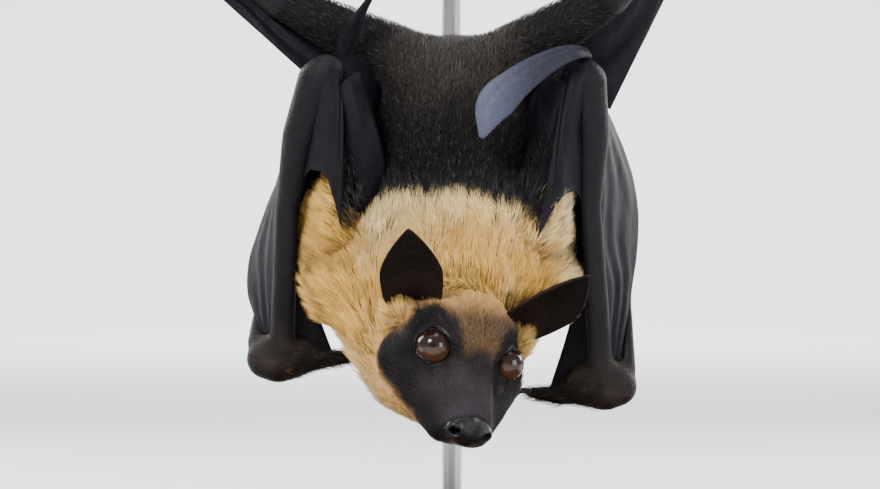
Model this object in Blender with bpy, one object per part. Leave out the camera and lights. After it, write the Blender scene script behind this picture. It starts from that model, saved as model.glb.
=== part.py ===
"""Fruit bat (flying fox) hanging head down from a cut branch on a display stand.

Lengths are millimetres until a mesh is made. X points to the bat's left, -Y to
its back and Z up, with the floor at Z = 0. The bat hangs by its feet, so its
rump is above its head, and its head is bent back until the face looks along -Y.

Rounded parts are built as distance fields: a function that gives, for an array
of points, how far outside the part each one lies. Fields are easy to blend and
to cut clear of one another, and surface_of turns one into a closed mesh.
"""

import math

import bpy
import numpy as np
from mathutils import Euler

MM = 0.001
CONTACT_GAP = 0.4   # between flat faces that meet
CURVED_GAP = 0.9    # between curved faces that meet, which are faceted
SHEET_GAP = 0.7     # from a membrane's face to the limb that carries it

# Stand
BASE_WIDTH, BASE_DEPTH, BASE_HEIGHT = 380.0, 260.0, 15.0
BASE_CORNER = 14.0
ROD_RADIUS = 5.0
ROD_BEHIND = 100.0
PERCH_HEIGHT, PERCH_BEHIND = 346.0, 12.0
PERCH_RADIUS = 10.0
PERCH_ENDS = (-178.0, 164.0)

# Head, measured from the point between the eyes: x to the bat's right,
# y to the nose and z to the crown.
HEAD_PLACE = (7.9, -62.0, 101.0)
HEAD_TURN = (-52.0, -13.2, -156.2)
EYE_PLACE = (19.0, -0.5, 0.2)
EYE_RADIUS = 8.6
EYE_AXIS = (0.28, 0.6, 0.74)
NOSE_PLACE = (0.0, 39.5, -8.5)
EAR_ROOT = (25.0, -30.5, -3.5)
EAR_TIP = (47.5, -34.0, 37.5)
EAR_WIDTH = 29.0
EAR_THICK = 1.4
EAR_WIDEST = 0.52  # how far up the ear it is widest
EAR_BEND = 1.05  # how far each edge curls round, in radians

MEMBRANE_THICK = 1.4

# Joints of each side's limbs, in the standing frame
SIDES = {
    "right": dict(
        shoulder=(-51, -6, 156), elbow=(-60, -34, 234), humerus_top=(-52, -31, 227),
        forearm=[(-65, -33, 231), (-73, -22, 205), (-80, -5, 170), (-83, 20, 104)],
        wrist=(-83, 24, 99), knuckle=(-93, 50, 143), finger_end=(-58, 14, 234),
        thumb=[(-78, 24, 97), (-64, 25, 97), (-50, 27, 98)], claw=(-38, 29, 93),
        tip_line=[(-52, -24, 241), (-48, -26, 251), (-42, -29, 263), (-37, -32, 271)],
        tip_width=[8, 13, 9, 4], tip_faces=[(0.8, -0.6, 0), (0.9, -0.4, 0)],
        hem=(180, 189, 188, 178, 161), hip=(-18, -2, 238), knee=(-82, -6, 270), ankle=(-142, -2, 314),
        free_edge=[(-72, -14, 236), (-145, -2, 302)]),
    "left": dict(
        shoulder=(38, -16, 156), elbow=(61, -21, 234), humerus_top=(54, -19, 227),
        forearm=[(65, -20, 231), (67, -13, 205), (66.5, -5, 172), (72, 9, 92)],
        wrist=(72, 12, 86), knuckle=(85, 44, 170), finger_end=(64, 12, 234),
        thumb=[(68, 12, 83), (52, 13, 80), (40, 15, 81)], claw=(28, 17, 77),
        tip_line=[(65, -24, 245), (57, -35, 244.5), (46, -41, 240), (31, -45, 230),
                  (19, -46, 218), (13.5, -46, 203)],
        tip_width=[6, 8, 11.5, 15, 17, 2.5], tip_faces=[(0.1, -0.9, 0.4), (0, -1, 0.1), (0, -1, 0)],
        hem=(173, 178, 176, 168, 156), hip=(20, -2, 238), knee=(75, -22, 271), ankle=(121, -2, 314),
        free_edge=[(76, -2, 218), (117, -2, 302)]),
}

ARM_RADIUS = (12.5, 9.5)
ELBOW_RADIUS = 9.5
FOREARM_RADII = (9.0, 8.6, 5.6, 6.5)
WRIST_SIZE = (18.0, 11.0, 13.5)
THIGH_RADII = (18.0, 11.0)
SHANK_RADII = (10.0, 4.5)
THUMB_RADII = (7.0, 4.6, 3.0)
TOE_RADIUS = 2.6
TOE_SPACING = 4.6
TOE_COUNT = 5

COLOURS = {
    "fur_blonde": ((0.56, 0.40, 0.20), 0.9, 0.0),
    "fur_black": ((0.045, 0.04, 0.042), 0.85, 0.0),
    "fur_face": ((0.06, 0.042, 0.035), 0.85, 0.0),
    "membrane": ((0.035, 0.032, 0.038), 0.5, 0.0),
    "ear_skin": ((0.03, 0.026, 0.024), 0.6, 0.0),
    "eye": ((0.10, 0.035, 0.015), 0.08, 0.0),
    "claw": ((0.025, 0.02, 0.018), 0.35, 0.0),
    "bark": ((0.16, 0.10, 0.06), 0.9, 0.0),
    "base_wood": ((0.07, 0.04, 0.022), 0.45, 0.0),
    "rod_steel": ((0.45, 0.45, 0.46), 0.35, 1.0),
}


# ---------------------------------------------------------------- fields

class Field:
    """A solid as a distance function, with the box that holds it."""

    def __init__(self, distance, low, high):
        self.distance = distance
        self.low = np.asarray(low, float)
        self.high = np.asarray(high, float)


def limb(points, radii):
    """A chain of tapering round segments through the points."""
    points = np.asarray(points, float)

    def distance(p):
        nearest = np.full(len(p), np.inf)
        for a, b, ra, rb in zip(points, points[1:], radii, radii[1:]):
            axis = b - a
            along = np.clip((p - a) @ axis / (axis @ axis), 0, 1)
            away = np.linalg.norm(p - a - along[:, None] * axis, axis=1)
            nearest = np.minimum(nearest, away - (ra + along * (rb - ra)))
        return nearest

    reach = max(radii)
    return Field(distance, points.min(0) - reach, points.max(0) + reach)


def ball(centre, radius):
    centre = np.asarray(centre, float)
    return Field(lambda p: np.linalg.norm(p - centre, axis=1) - radius,
                 centre - radius, centre + radius)


def ellipsoid(centre, size):
    """A rounded mass with its half-widths along X, Y and Z."""
    centre, size = np.asarray(centre, float), np.asarray(size, float)

    def distance(p):
        scaled = np.linalg.norm((p - centre) / size, axis=1)
        slope = np.linalg.norm((p - centre) / size ** 2, axis=1)
        return scaled * (scaled - 1) / np.maximum(slope, 1e-6)

    return Field(distance, centre - size, centre + size)


def blend(width, *fields):
    """The union of fields, with fillets about as wide as given."""
    def distance(p):
        result = fields[0].distance(p)
        for field in fields[1:]:
            other = field.distance(p)
            mix = np.clip(0.5 + 0.5 * (result - other) / width, 0, 1)
            result = result + mix * (other - result) - width * mix * (1 - mix)
        return result

    return Field(distance, np.min([f.low for f in fields], 0),
                 np.max([f.high for f in fields], 0))


def keep_side(field, point, normal, gap=CONTACT_GAP):
    """The part of a field on the normal's side of a plane."""
    point = np.asarray(point, float)
    normal = np.asarray(normal, float) / np.linalg.norm(normal)
    return Field(lambda p: np.maximum(field.distance(p),
                                      gap / 2 - (p - point) @ normal),
                 field.low, field.high)


def wedge(points, normals):
    """The space on the normals' side of every one of some planes."""
    points = np.asarray(points, float)
    normals = np.asarray(normals, float)
    normals = normals / np.linalg.norm(normals, axis=1, keepdims=True)
    return Field(lambda p: np.max([(q - p) @ n for q, n in zip(points, normals)], 0),
                 points.min(0), points.max(0))


def within(field, space, gap=CONTACT_GAP):
    """The part of a field inside a space, and just short of its faces."""
    return Field(lambda p: np.maximum(field.distance(p), space.distance(p) + gap / 2),
                 field.low, field.high)


def clear_of(field, others, gap=CURVED_GAP):
    """A field cut back until it is a gap away from the others."""
    def distance(p):
        result = field.distance(p)
        for other in others:
            result = np.maximum(result, gap - other.distance(p))
        return result

    return Field(distance, field.low, field.high)


def turned(field, place, rotation):
    """A field built in a local frame, moved into the standing frame."""
    place = np.asarray(place, float)
    corners = np.array([[x, y, z] for x in (field.low[0], field.high[0])
                        for y in (field.low[1], field.high[1])
                        for z in (field.low[2], field.high[2])])
    corners = corners @ rotation.T + place
    return Field(lambda p: field.distance((p - place) @ rotation),
                 corners.min(0), corners.max(0))


def without_touching_corners(value):
    """Fill samples so that no cell face is inside at two opposite corners only."""
    for _ in range(3):
        for a, b in ((0, 1), (1, 2), (0, 2)):
            corner = {}
            for i in (0, 1):
                for j in (0, 1):
                    part = [slice(None)] * 3
                    part[a] = slice(i, value.shape[a] - 1 + i)
                    part[b] = slice(j, value.shape[b] - 1 + j)
                    corner[i, j] = value[tuple(part)]
            for near, far in (((0, 0), (0, 1)), ((0, 1), (0, 0))):
                mate = (1 - near[0], 1 - near[1])
                other = (1 - far[0], 1 - far[1])
                touching = ((corner[near] < 0) & (corner[mate] < 0)
                            & (corner[far] >= 0) & (corner[other] >= 0))
                corner[far][touching] = -1e-3
    return value


def surface_of(field, step):
    """Vertices and outward quads of a field's surface, a vertex to each cell."""
    low = field.low - 3 * step
    count = np.ceil((field.high - low) / step).astype(int) + 4
    axes = [low[k] + step * np.arange(count[k]) for k in range(3)]
    grid = np.stack(np.meshgrid(*axes, indexing="ij"), -1).reshape(-1, 3)
    value = field.distance(grid).reshape(count)
    for axis in range(3):  # drops slivers thinner than a cell
        value = (np.roll(value, 1, axis) + 2 * value + np.roll(value, -1, axis)) / 4
    value = without_touching_corners(value)
    inside = value < 0
    cells = count - 1
    total = np.zeros((cells.prod(), 3))
    hits = np.zeros(cells.prod())
    quads = []
    for axis in range(3):
        side, up = (axis + 1) % 3, (axis + 2) % 3
        unit = np.eye(3, dtype=int)[axis]
        first = np.take(inside, range(count[axis] - 1), axis)
        second = np.take(inside, range(1, count[axis]), axis)
        edge = np.argwhere(first != second)
        a, b = value[tuple(edge.T)], value[tuple((edge + unit).T)]
        crossing = edge + unit * (a / (a - b))[:, None]
        around = []
        for back_side, back_up in ((0, 0), (1, 0), (1, 1), (0, 1)):
            cell = edge.copy()
            cell[:, side] -= back_side
            cell[:, up] -= back_up
            flat = np.ravel_multi_index(cell.T, cells)
            around.append(flat)
            hits += np.bincount(flat, minlength=len(hits))
            for k in range(3):
                total[:, k] += np.bincount(flat, crossing[:, k], len(hits))
        around = np.stack(around, 1)
        leaving = inside[tuple(edge.T)]
        quads += [around[leaving], around[~leaving][:, ::-1]]
    quads = np.concatenate(quads)
    used, quads = np.unique(quads, return_inverse=True)
    vertices = low + step * total[used] / hits[used, None]
    return vertices, quads.reshape(-1, 4)


# ---------------------------------------------------------------- meshes

def clear_scene():
    for item in list(bpy.data.objects):
        bpy.data.objects.remove(item, do_unlink=True)


def material(name):
    """The Principled material of one colour, made once."""
    found = bpy.data.materials.get(name)
    if found:
        return found
    colour, roughness, metallic = COLOURS[name]
    made = bpy.data.materials.new(name)
    made.use_nodes = True
    shader = made.node_tree.nodes["Principled BSDF"]
    shader.inputs["Base Color"].default_value = (*colour, 1)
    shader.inputs["Roughness"].default_value = roughness
    shader.inputs["Metallic"].default_value = metallic
    return made


def add_object(name, vertices, faces, colour):
    """An object with its origin in the middle of its box."""
    vertices = np.asarray(vertices, float)
    middle = (vertices.min(0) + vertices.max(0)) / 2
    mesh = bpy.data.meshes.new(name)
    mesh.from_pydata(((vertices - middle) * MM).tolist(), [],
                     [list(map(int, face)) for face in faces])
    mesh.validate()
    mesh.shade_smooth()
    mesh.materials.append(material(colour))
    item = bpy.data.objects.new(name, mesh)
    item.location = middle * MM
    bpy.context.collection.objects.link(item)
    return item


def add_solid(name, field, step, triangles, colour):
    """A node made from a field, thinned to about the wanted triangles."""
    vertices, quads = surface_of(field, step)
    item = add_object(name, vertices, quads, colour)
    thin = item.modifiers.new("thin", "DECIMATE")
    thin.ratio = min(1.0, triangles / (2 * len(quads)))
    return item


def add_sheet(name, rows, thickness, colour):
    """A closed sheet through a grid of middle points, rows by columns."""
    rows = np.asarray(rows, float)
    across = np.gradient(rows, axis=0)
    along = np.gradient(rows, axis=1)
    normal = np.cross(across, along)
    normal /= np.linalg.norm(normal, axis=2, keepdims=True)
    front = (rows + normal * thickness / 2).reshape(-1, 3)
    back = (rows - normal * thickness / 2).reshape(-1, 3)
    count_a, count_b = rows.shape[:2]
    index = np.arange(count_a * count_b).reshape(count_a, count_b)
    far = index + count_a * count_b
    faces = []
    for i in range(count_a - 1):
        for j in range(count_b - 1):
            quad = [index[i, j], index[i + 1, j], index[i + 1, j + 1], index[i, j + 1]]
            faces += [[quad[0], quad[1], quad[2]], [quad[0], quad[2], quad[3]]]
            quad = [far[i, j], far[i, j + 1], far[i + 1, j + 1], far[i + 1, j]]
            faces += [[quad[0], quad[1], quad[3]], [quad[1], quad[2], quad[3]]]
    rim = ([index[i, 0] for i in range(count_a)]
           + [index[-1, j] for j in range(1, count_b)]
           + [index[i, -1] for i in range(count_a - 2, -1, -1)]
           + [index[0, j] for j in range(count_b - 2, 0, -1)])
    offset = count_a * count_b
    for a, b in zip(rim, rim[1:] + rim[:1]):
        faces += [[b, a, a + offset], [b, a + offset, b + offset]]
    return add_object(name, np.concatenate([front, back]), faces, colour)


# ---------------------------------------------------------------- curves and sheets

def smooth_line(points, count, span=(0.0, 1.0)):
    """Points spread along a smooth curve through the given points."""
    points = np.asarray(points, float)
    padded = np.concatenate([[2 * points[0] - points[1]], points,
                             [2 * points[-1] - points[-2]]])
    lengths = np.linalg.norm(np.diff(points, axis=0), axis=1)
    ends = np.concatenate([[0], np.cumsum(lengths)]) / lengths.sum()
    result = []
    for t in np.linspace(*span, count):
        k = min(int(np.searchsorted(ends, t, side="right")) - 1, len(lengths) - 1)
        u = (t - ends[k]) / (ends[k + 1] - ends[k])
        a, b, c, d = padded[k:k + 4]
        result.append(0.5 * (2 * b + (c - a) * u + (2 * a - 5 * b + 4 * c - d) * u ** 2
                             + (3 * b - a - 3 * c + d) * u ** 3))
    return np.array(result)


def pull_clear(points, toward, blockers, gap):
    """Move each point toward its partner until it is clear of the blockers."""
    direction = toward - points
    length = np.linalg.norm(direction, axis=1)
    direction = direction / length[:, None]
    moved = np.zeros(len(points))
    for _ in range(60):
        here = points + direction * moved[:, None]
        nearest = np.min([b.distance(here) for b in blockers], axis=0)
        moved += np.maximum(gap - nearest, 0)
    return points + direction * np.minimum(moved, 0.8 * length)[:, None]


def ruled(first, second, blockers, columns, gap=SHEET_GAP):
    """A flat-ruled sheet's grid between two guides, short of the blockers."""
    gap = gap + MEMBRANE_THICK / 2
    start = pull_clear(first, second, blockers, gap)
    end = pull_clear(second, first, blockers, gap)
    return np.array([start + (end - start) * u for u in np.linspace(0, 1, columns)])


# ---------------------------------------------------------------- body

def rotation_of(degrees):
    return np.array(Euler([math.radians(a) for a in degrees]).to_matrix())


HEAD_AXES = rotation_of(HEAD_TURN)


def from_head(point):
    """A place in the head's frame, in the standing frame."""
    return np.asarray(point, float) @ HEAD_AXES.T + np.array(HEAD_PLACE)


def mirrored(point, side):
    """A place in the head's frame, on the named side."""
    return (point[0] if side == "right" else -point[0], point[1], point[2])


def torso():
    """Trunk, shoulders and throat as one mass, to the tips of the coat."""
    return blend(
        14,
        ellipsoid((1, 0, 229), (33, 28, 25)),
        ellipsoid((1, 3, 194), (43, 36, 54)),
        ellipsoid((0, 2, 150), (56, 42, 44)),
        ellipsoid((-5, -2, 131), (65, 42, 38)),
        ellipsoid((-61, 4, 162), (14, 14, 36)),
        ellipsoid((48, 9, 159), (13, 13, 26)),
        ball((-7, -10, 113), 46),
        ball((-6.5, -28, 89), 31.5))


def skull():
    """Head and muzzle with their short fur, in the head's frame."""
    nose = np.array(NOSE_PLACE)
    jaws = [limb([(s * 19.5, -7, -20.5), (s * 6.8, 27, -17)], [18, 10.4]) for s in (-1, 1)]
    temples = [ellipsoid((s * 29, -26, -9), (13, 11, 11)) for s in (-1, 1)]
    shape = blend(
        7,
        ellipsoid((0, -15, 2), (22, 25, 17)),
        ellipsoid((0, -16, -6), (30, 22, 19)),
        limb([(0, 4, -3.5), nose - (0, 8, 0)], [12.6, 10.4]),
        *jaws, *temples)
    nostrils = [ball(nose + (s * 7.0, -1.0, 0.5), 4.0) for s in (-1, 1)]
    brows = [limb([(s * 7, 6, 4), (s * 14, -11, 10)], [3.5, 6]) for s in (-1, 1)]
    return blend(3.5, shape, *nostrils, *brows)


def eye(side, extra=0.0):
    return ball(from_head(mirrored(EYE_PLACE, side)), EYE_RADIUS + extra)


def eye_socket(side):
    """The clear space in front of an eye, which opens along its axis."""
    centre = np.array(EYE_PLACE)
    axis = np.array(EYE_AXIS) / np.linalg.norm(EYE_AXIS)
    line = [centre + axis * 1.5, centre + axis * 26]
    return limb([from_head(mirrored(p, side)) for p in line], [8.2, 28])


def upper_arm(joints):
    return limb([joints["shoulder"], joints["humerus_top"]], ARM_RADIUS)


def forearm(joints):
    return blend(4, limb(joints["forearm"], FOREARM_RADII),
                 ball(joints["elbow"], ELBOW_RADIUS))


def thigh(joints):
    return limb([joints["hip"], joints["knee"]], THIGH_RADII)


def shank(joints):
    return limb([joints["knee"], joints["ankle"]], SHANK_RADII)


def leg_of(joints):
    return blend(4, thigh(joints), shank(joints))


def midpoint_plane(a, b, c):
    """The plane through joint b that halves the angle between a and c."""
    a, b, c = (np.asarray(p, float) for p in (a, b, c))
    normal = (b - a) / np.linalg.norm(b - a) + (c - b) / np.linalg.norm(c - b)
    return b, normal


def make_body():
    """Trunk, neck and head, cut from one mass by flat faces."""
    body = torso()
    head = turned(skull(), HEAD_PLACE, HEAD_AXES)
    whole = blend(6, body, head)
    split_height = (0, 0, 148)
    nape, under_jaw = (0, -30, 2), (0, 0, -35)
    to_face = HEAD_AXES @ (0, 0.8, 0.6)
    to_jaw = HEAD_AXES @ (0, 0.35, 0.94)
    face_space = wedge([from_head(nape), from_head(under_jaw), (46, 0, 0)],
                       [to_face, to_jaw, (-1, 0, 0)])
    eyes = [eye(side) for side in SIDES]

    trunk = keep_side(whole, split_height, (0, 0, 1))
    neck = clear_of(keep_side(whole, split_height, (0, 0, -1)), [face_space], CONTACT_GAP / 2)
    sockets = [eye_socket(side) for side in SIDES]
    face = within(clear_of(clear_of(whole, sockets, 0), eyes, 0.5), face_space)
    face.low, face.high = head.low - 14, np.maximum(head.high + 14, (50, 0, 0))
    add_solid("trunk", trunk, 2.0, 620, "fur_black")
    add_solid("neck", neck, 2.0, 720, "fur_blonde")
    add_solid("head", face, 1.25, 1260, "fur_face")
    return whole


def make_eyes():
    for side in SIDES:
        bpy.ops.mesh.primitive_uv_sphere_add(
            segments=14, ring_count=9, radius=EYE_RADIUS * MM,
            location=from_head(mirrored(EYE_PLACE, side)) * MM,
            rotation=[math.radians(a) for a in HEAD_TURN])
        item = bpy.context.object
        item.name = "eye_" + side
        item.data.shade_smooth()
        item.data.materials.append(material("eye"))


def make_ear(side, whole):
    """A cupped leaf that opens forward, from the fur to its tip."""
    root, tip = from_head(mirrored(EAR_ROOT, side)), from_head(mirrored(EAR_TIP, side))
    opening = from_head(mirrored((0.2, 0.95, 0.25), side)) - np.array(HEAD_PLACE)
    length = np.linalg.norm(tip - root)
    axis = (tip - root) / length
    across = np.cross(opening, axis)
    across /= np.linalg.norm(across)
    facing = np.cross(axis, across)

    def rib(u, heights):
        """The line up the ear at one place across it."""
        points = []
        for v in heights:
            below, above = max(EAR_WIDEST - v, 0), max(v - EAR_WIDEST, 0)
            profile = (1 - 0.18 * (below / EAR_WIDEST) ** 2 - 0.4 * (below / EAR_WIDEST) ** 8
                       - (above / (1 - EAR_WIDEST)) ** 2)
            half = max(EAR_WIDTH / 2 * profile, 2.2)
            bend = u * EAR_BEND
            points.append(root + axis * length * (v - 0.04 * u * u * (1 - v))
                          + across * half * math.sin(bend) / math.sin(EAR_BEND)
                          + facing * half * (1 - math.cos(bend)) * 1.1)
        return np.array(points)

    grid = []
    for u in np.linspace(-1, 1, 7):
        heights = np.linspace(-0.3, 1, 105)
        buried = whole.distance(rib(u, heights)) < EAR_THICK / 2 + SHEET_GAP
        start = heights[buried][-1] if buried.any() else 0.0
        grid.append(rib(u, np.linspace(start, 1, 9)))
    add_sheet("ear_" + side, grid, EAR_THICK, "ear_skin")


# ---------------------------------------------------------------- limbs

def make_arm(side, joints, whole):
    """Upper arm and forearm, which meet beside the elbow."""
    lower = forearm(joints)
    wrist = ellipsoid(joints["wrist"], WRIST_SIZE)
    add_solid("upper_arm_" + side, clear_of(upper_arm(joints), [whole, lower]),
              1.25, 190, "fur_black")
    add_solid("forearm_" + side, clear_of(lower, [wrist]), 1.3, 240, "membrane")


def hand_bones(joints):
    """The folded hand: four bones fanned from the wrist to the knuckles."""
    wrist, knuckle = np.array(joints["wrist"], float), np.array(joints["knuckle"], float)
    outward = np.sign(wrist[0])
    roots = [(13, 2, 7), (12, 8, 6), (8, 11, 5), (2, 12, 4)]
    ends = [(0, -3, -2), (-2, 3, 1), (-6, 7, -1), (-10, 9, -5)]
    turn = np.array((outward, 1, 1))
    bones = [limb([wrist + turn * a, knuckle + turn * b], [4.4, 3.0])
             for a, b in zip(roots, ends)]
    return blend(7, *bones)


def make_hand(side, joints):
    """Wrist knob with the folded hand, the long finger and the thumb."""
    wrist = ellipsoid(joints["wrist"], WRIST_SIZE)
    lower = forearm(joints)
    bones = clear_of(hand_bones(joints), [lower])
    thumb = limb(joints["thumb"], THUMB_RADII)
    thumb_plane = (np.array(joints["thumb"][0]) + (np.sign(-joints["wrist"][0]) * 10, 0, 0),
                   np.array(joints["thumb"][1], float) - joints["thumb"][0])
    palm = blend(5, wrist, bones, thumb)
    palm = clear_of(palm, [clear_of(lower, [wrist], 0)])
    finger_line = smooth_line([joints["knuckle"],
                               (np.array(joints["knuckle"], float) + joints["finger_end"]) / 2
                               + (np.sign(joints["wrist"][0]) * -3, 4, 0),
                               joints["finger_end"]], 5)
    finger = limb(finger_line, [3.2, 4.2, 4.4, 4.0, 3.2])
    knuckle_plane = (finger_line[0] + 0.25 * (finger_line[1] - finger_line[0]),
                     finger_line[1] - finger_line[0])
    add_solid("hand_" + side,
              keep_side(keep_side(palm, thumb_plane[0], -thumb_plane[1]),
                        knuckle_plane[0], -knuckle_plane[1]), 1.3, 420, "membrane")
    add_solid("thumb_" + side, keep_side(thumb, *thumb_plane), 0.9, 130, "membrane")
    others = [lower, upper_arm(joints)]
    add_solid("finger_" + side, keep_side(clear_of(finger, others), *knuckle_plane),
              1.0, 170, "membrane")
    make_claw("thumb_claw_" + side, joints["thumb"][-1], joints["claw"],
              THUMB_RADII[-1], (0, 0, 3))
    return finger


def make_claw(name, start, tip, thumb_radius, arch):
    """A curved claw that starts just beyond the thumb's end."""
    start, tip = np.array(start, float), np.array(tip, float)
    toward = (tip - start) / np.linalg.norm(tip - start)
    start = start + toward * (thumb_radius + 1.6)
    middle = (start + tip) / 2 + np.array(arch, float)
    add_solid(name, limb(smooth_line([start, middle, tip], 6),
                         [1.6, 1.5, 1.3, 1.1, 0.8, 0.5]), 0.45, 60, "claw")


def make_wing_tip(side, joints):
    """The folded end of the wing, a narrow leaf that comes past the elbow."""
    line = smooth_line(joints["tip_line"], 10)
    width = smooth_line([(w, 0, 40 * k) for k, w in enumerate(joints["tip_width"])], 10)[:, 0]
    faces = joints["tip_faces"]
    face = smooth_line([np.array(f) + (0.001 * k, 0, 0) for k, f in enumerate(faces)], 10)
    across = np.cross(np.gradient(line, axis=0), face)
    across /= np.linalg.norm(across, axis=1, keepdims=True)
    grid = np.array([line + across * (u * width / 2)[:, None] - face * 1.2 * u * u
                     for u in np.linspace(-1, 1, 5)])
    add_sheet("wing_tip_" + side, grid, 1.6, "membrane")


def make_leg(side, joints, whole):
    """Thigh and shank, cut apart at the knee."""
    knee = midpoint_plane(joints["hip"], joints["knee"], joints["ankle"])
    leg = clear_of(leg_of(joints), [whole])
    ankle = (np.array(joints["ankle"], float), (0, 0, 1))
    add_solid("thigh_" + side, keep_side(leg, knee[0], -knee[1]), 1.4, 200, "fur_black")
    lower = keep_side(keep_side(leg, *knee), ankle[0], (0, 0, -1))
    add_solid("shank_" + side, lower, 1.2, 170, "membrane")


def perch():
    """A slightly crooked stick between the two ends."""
    left, right = PERCH_ENDS
    xs = np.linspace(left, right, 9)
    line = [(x, PERCH_BEHIND + 1.2 * math.sin(x / 37), PERCH_HEIGHT + 1.2 * math.cos(x / 51))
            for x in xs]
    radii = [PERCH_RADIUS + 0.8 * math.sin(x / 23) for x in xs]
    stick = limb(line, radii)
    stick = keep_side(stick, (left + 3, 0, PERCH_HEIGHT), (1, 0, 0))
    return keep_side(stick, (right - 3, 0, PERCH_HEIGHT), (-1, 0, 0))


def make_foot(side, joints, stick):
    """Sole and five hooked toes, closed over the top of the perch."""
    x, _, z = joints["ankle"]
    curl = PERCH_RADIUS + TOE_RADIUS + 1.6
    parts = [limb([(x, -2, z), (x, -5, z + 14), (x, -6, PERCH_HEIGHT - 8)],
                  [4.6, 5.0, 6.0])]
    for k in range(TOE_COUNT):
        lean = (k - (TOE_COUNT - 1) / 2) * TOE_SPACING
        angles = np.radians(np.linspace(205, -15, 9))
        toe = [(x + lean * (0.75 + 0.35 * t), PERCH_BEHIND + curl * math.cos(a),
                PERCH_HEIGHT + curl * math.sin(a)) for t, a in zip(np.linspace(0, 1, 9), angles)]
        parts.append(limb(toe, np.linspace(TOE_RADIUS, 1.0, 9)))
    foot = blend(2.0, *parts)
    foot = clear_of(foot, [stick], 0.5)
    add_solid("foot_" + side, keep_side(foot, (x, -2, z), (0, 0, 1)), 0.9, 520, "membrane")


# ---------------------------------------------------------------- membranes

def make_propatagium(side, joints):
    """The membrane over the crook of the elbow, hollowed at its free edge."""
    inward = -np.sign(joints["elbow"][0])
    outer = smooth_line(joints["forearm"][:3], 12, (0.1, 0.95)) + (inward * 4, -11, 0)
    inner = smooth_line([joints["humerus_top"], joints["shoulder"]], 12, (0.05, 1))
    inner = inner - (inward * 2, 0, 0) - np.linspace((0, 12, 0), (0, 16, 0), 12)
    hem = smooth_line([(u, 0, z) for u, z in zip((0, 0.25, 0.5, 0.75, 1), joints["hem"])], 6)
    grid = []
    for u, _, height in hem:
        line = outer + (inner - outer) * u - (0, 3.5 * math.sin(math.pi * u), 0)
        share = (line[0, 2] - height) / (line[0, 2] - line[-1, 2])
        grid.append(smooth_line(line, 8, (0, min(share, 1))))
    add_sheet("propatagium_" + side, grid, MEMBRANE_THICK, "membrane")


def make_flank_membrane(side, joints):
    """The fold of membrane between the upper arm and the back."""
    outward = np.sign(joints["elbow"][0])
    arm = smooth_line([joints["humerus_top"], joints["shoulder"]], 8, (0.0, 0.45))
    arm = arm - (outward * 4, 0, 0) - np.linspace((0, 12, 0), (0, 13, 0), 8)
    back = np.array([(outward * (42 - 8 * t), -34 - t, 241 - 46 * t)
                     for t in np.linspace(0, 1, 8)])
    grid = [arm + (back - arm) * u - (0, 4 * math.sin(math.pi * u), 0)
            for u in np.linspace(0, 1, 5)]
    add_sheet("flank_membrane_" + side, grid, MEMBRANE_THICK, "membrane")


def make_plagiopatagium(side, joints, blockers):
    """The membrane along the leg, out to its taut free edge."""
    hip, knee, ankle = (np.array(joints[name], float) for name in ("hip", "knee", "ankle"))
    leg_line = smooth_line([hip + 0.35 * (knee - hip), knee, ankle], 12, (0, 0.78))
    free_edge = np.linspace(*joints["free_edge"], 12)
    grid = ruled(leg_line, free_edge, blockers, 4)
    add_sheet("plagiopatagium_" + side, grid, MEMBRANE_THICK, "membrane")


def make_leading_membrane(side, joints, blockers):
    """The strip along the forearm's inner edge, widest at the thumb."""
    inward = -np.sign(joints["wrist"][0])
    bone = smooth_line(joints["forearm"], 9, (0.76, 0.97))
    reach = [(inward * (13 + 8 * t ** 1.3), 3 + 3 * t, 0) for t in np.linspace(0, 1, 9)]
    grid = ruled(bone, bone + np.array(reach), blockers, 4)
    add_sheet("leading_membrane_" + side, grid, MEMBRANE_THICK, "membrane")


def make_folded_membrane(side, joints, blockers):
    """The pleated membrane packed between the forearm and the folded hand."""
    near = smooth_line(joints["forearm"][::-1], 9, (0.3, 0.9))
    far = smooth_line([joints["wrist"], joints["knuckle"], joints["finger_end"]], 9, (0.3, 0.86))
    grid = ruled(near, far, blockers, 5)
    add_sheet("wing_fold_" + side, grid, MEMBRANE_THICK, "membrane")


# ---------------------------------------------------------------- stand

def make_base():
    """A plain plate with round corners and a softened top edge."""
    bpy.ops.mesh.primitive_cube_add(size=1, location=(0, 0, BASE_HEIGHT / 2 * MM))
    plate = bpy.context.object
    plate.name = "stand_base"
    plate.scale = (BASE_WIDTH * MM, BASE_DEPTH * MM, BASE_HEIGHT * MM)
    bpy.ops.object.transform_apply(location=False, rotation=False, scale=True)
    upright = [e.index for e in plate.data.edges
               if abs(plate.data.vertices[e.vertices[0]].co.z
                      - plate.data.vertices[e.vertices[1]].co.z) > 1e-6]
    weight = plate.data.attributes.new("bevel_weight_edge", "FLOAT", "EDGE")
    for index in upright:
        weight.data[index].value = 1.0
    corner = plate.modifiers.new("corner", "BEVEL")
    corner.limit_method, corner.width, corner.segments = "WEIGHT", BASE_CORNER * MM, 4
    edge = plate.modifiers.new("edge", "BEVEL")
    edge.limit_method, edge.angle_limit = "ANGLE", math.radians(50)
    edge.width, edge.segments = 1.5 * MM, 1
    plate.data.materials.append(material("base_wood"))


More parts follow.
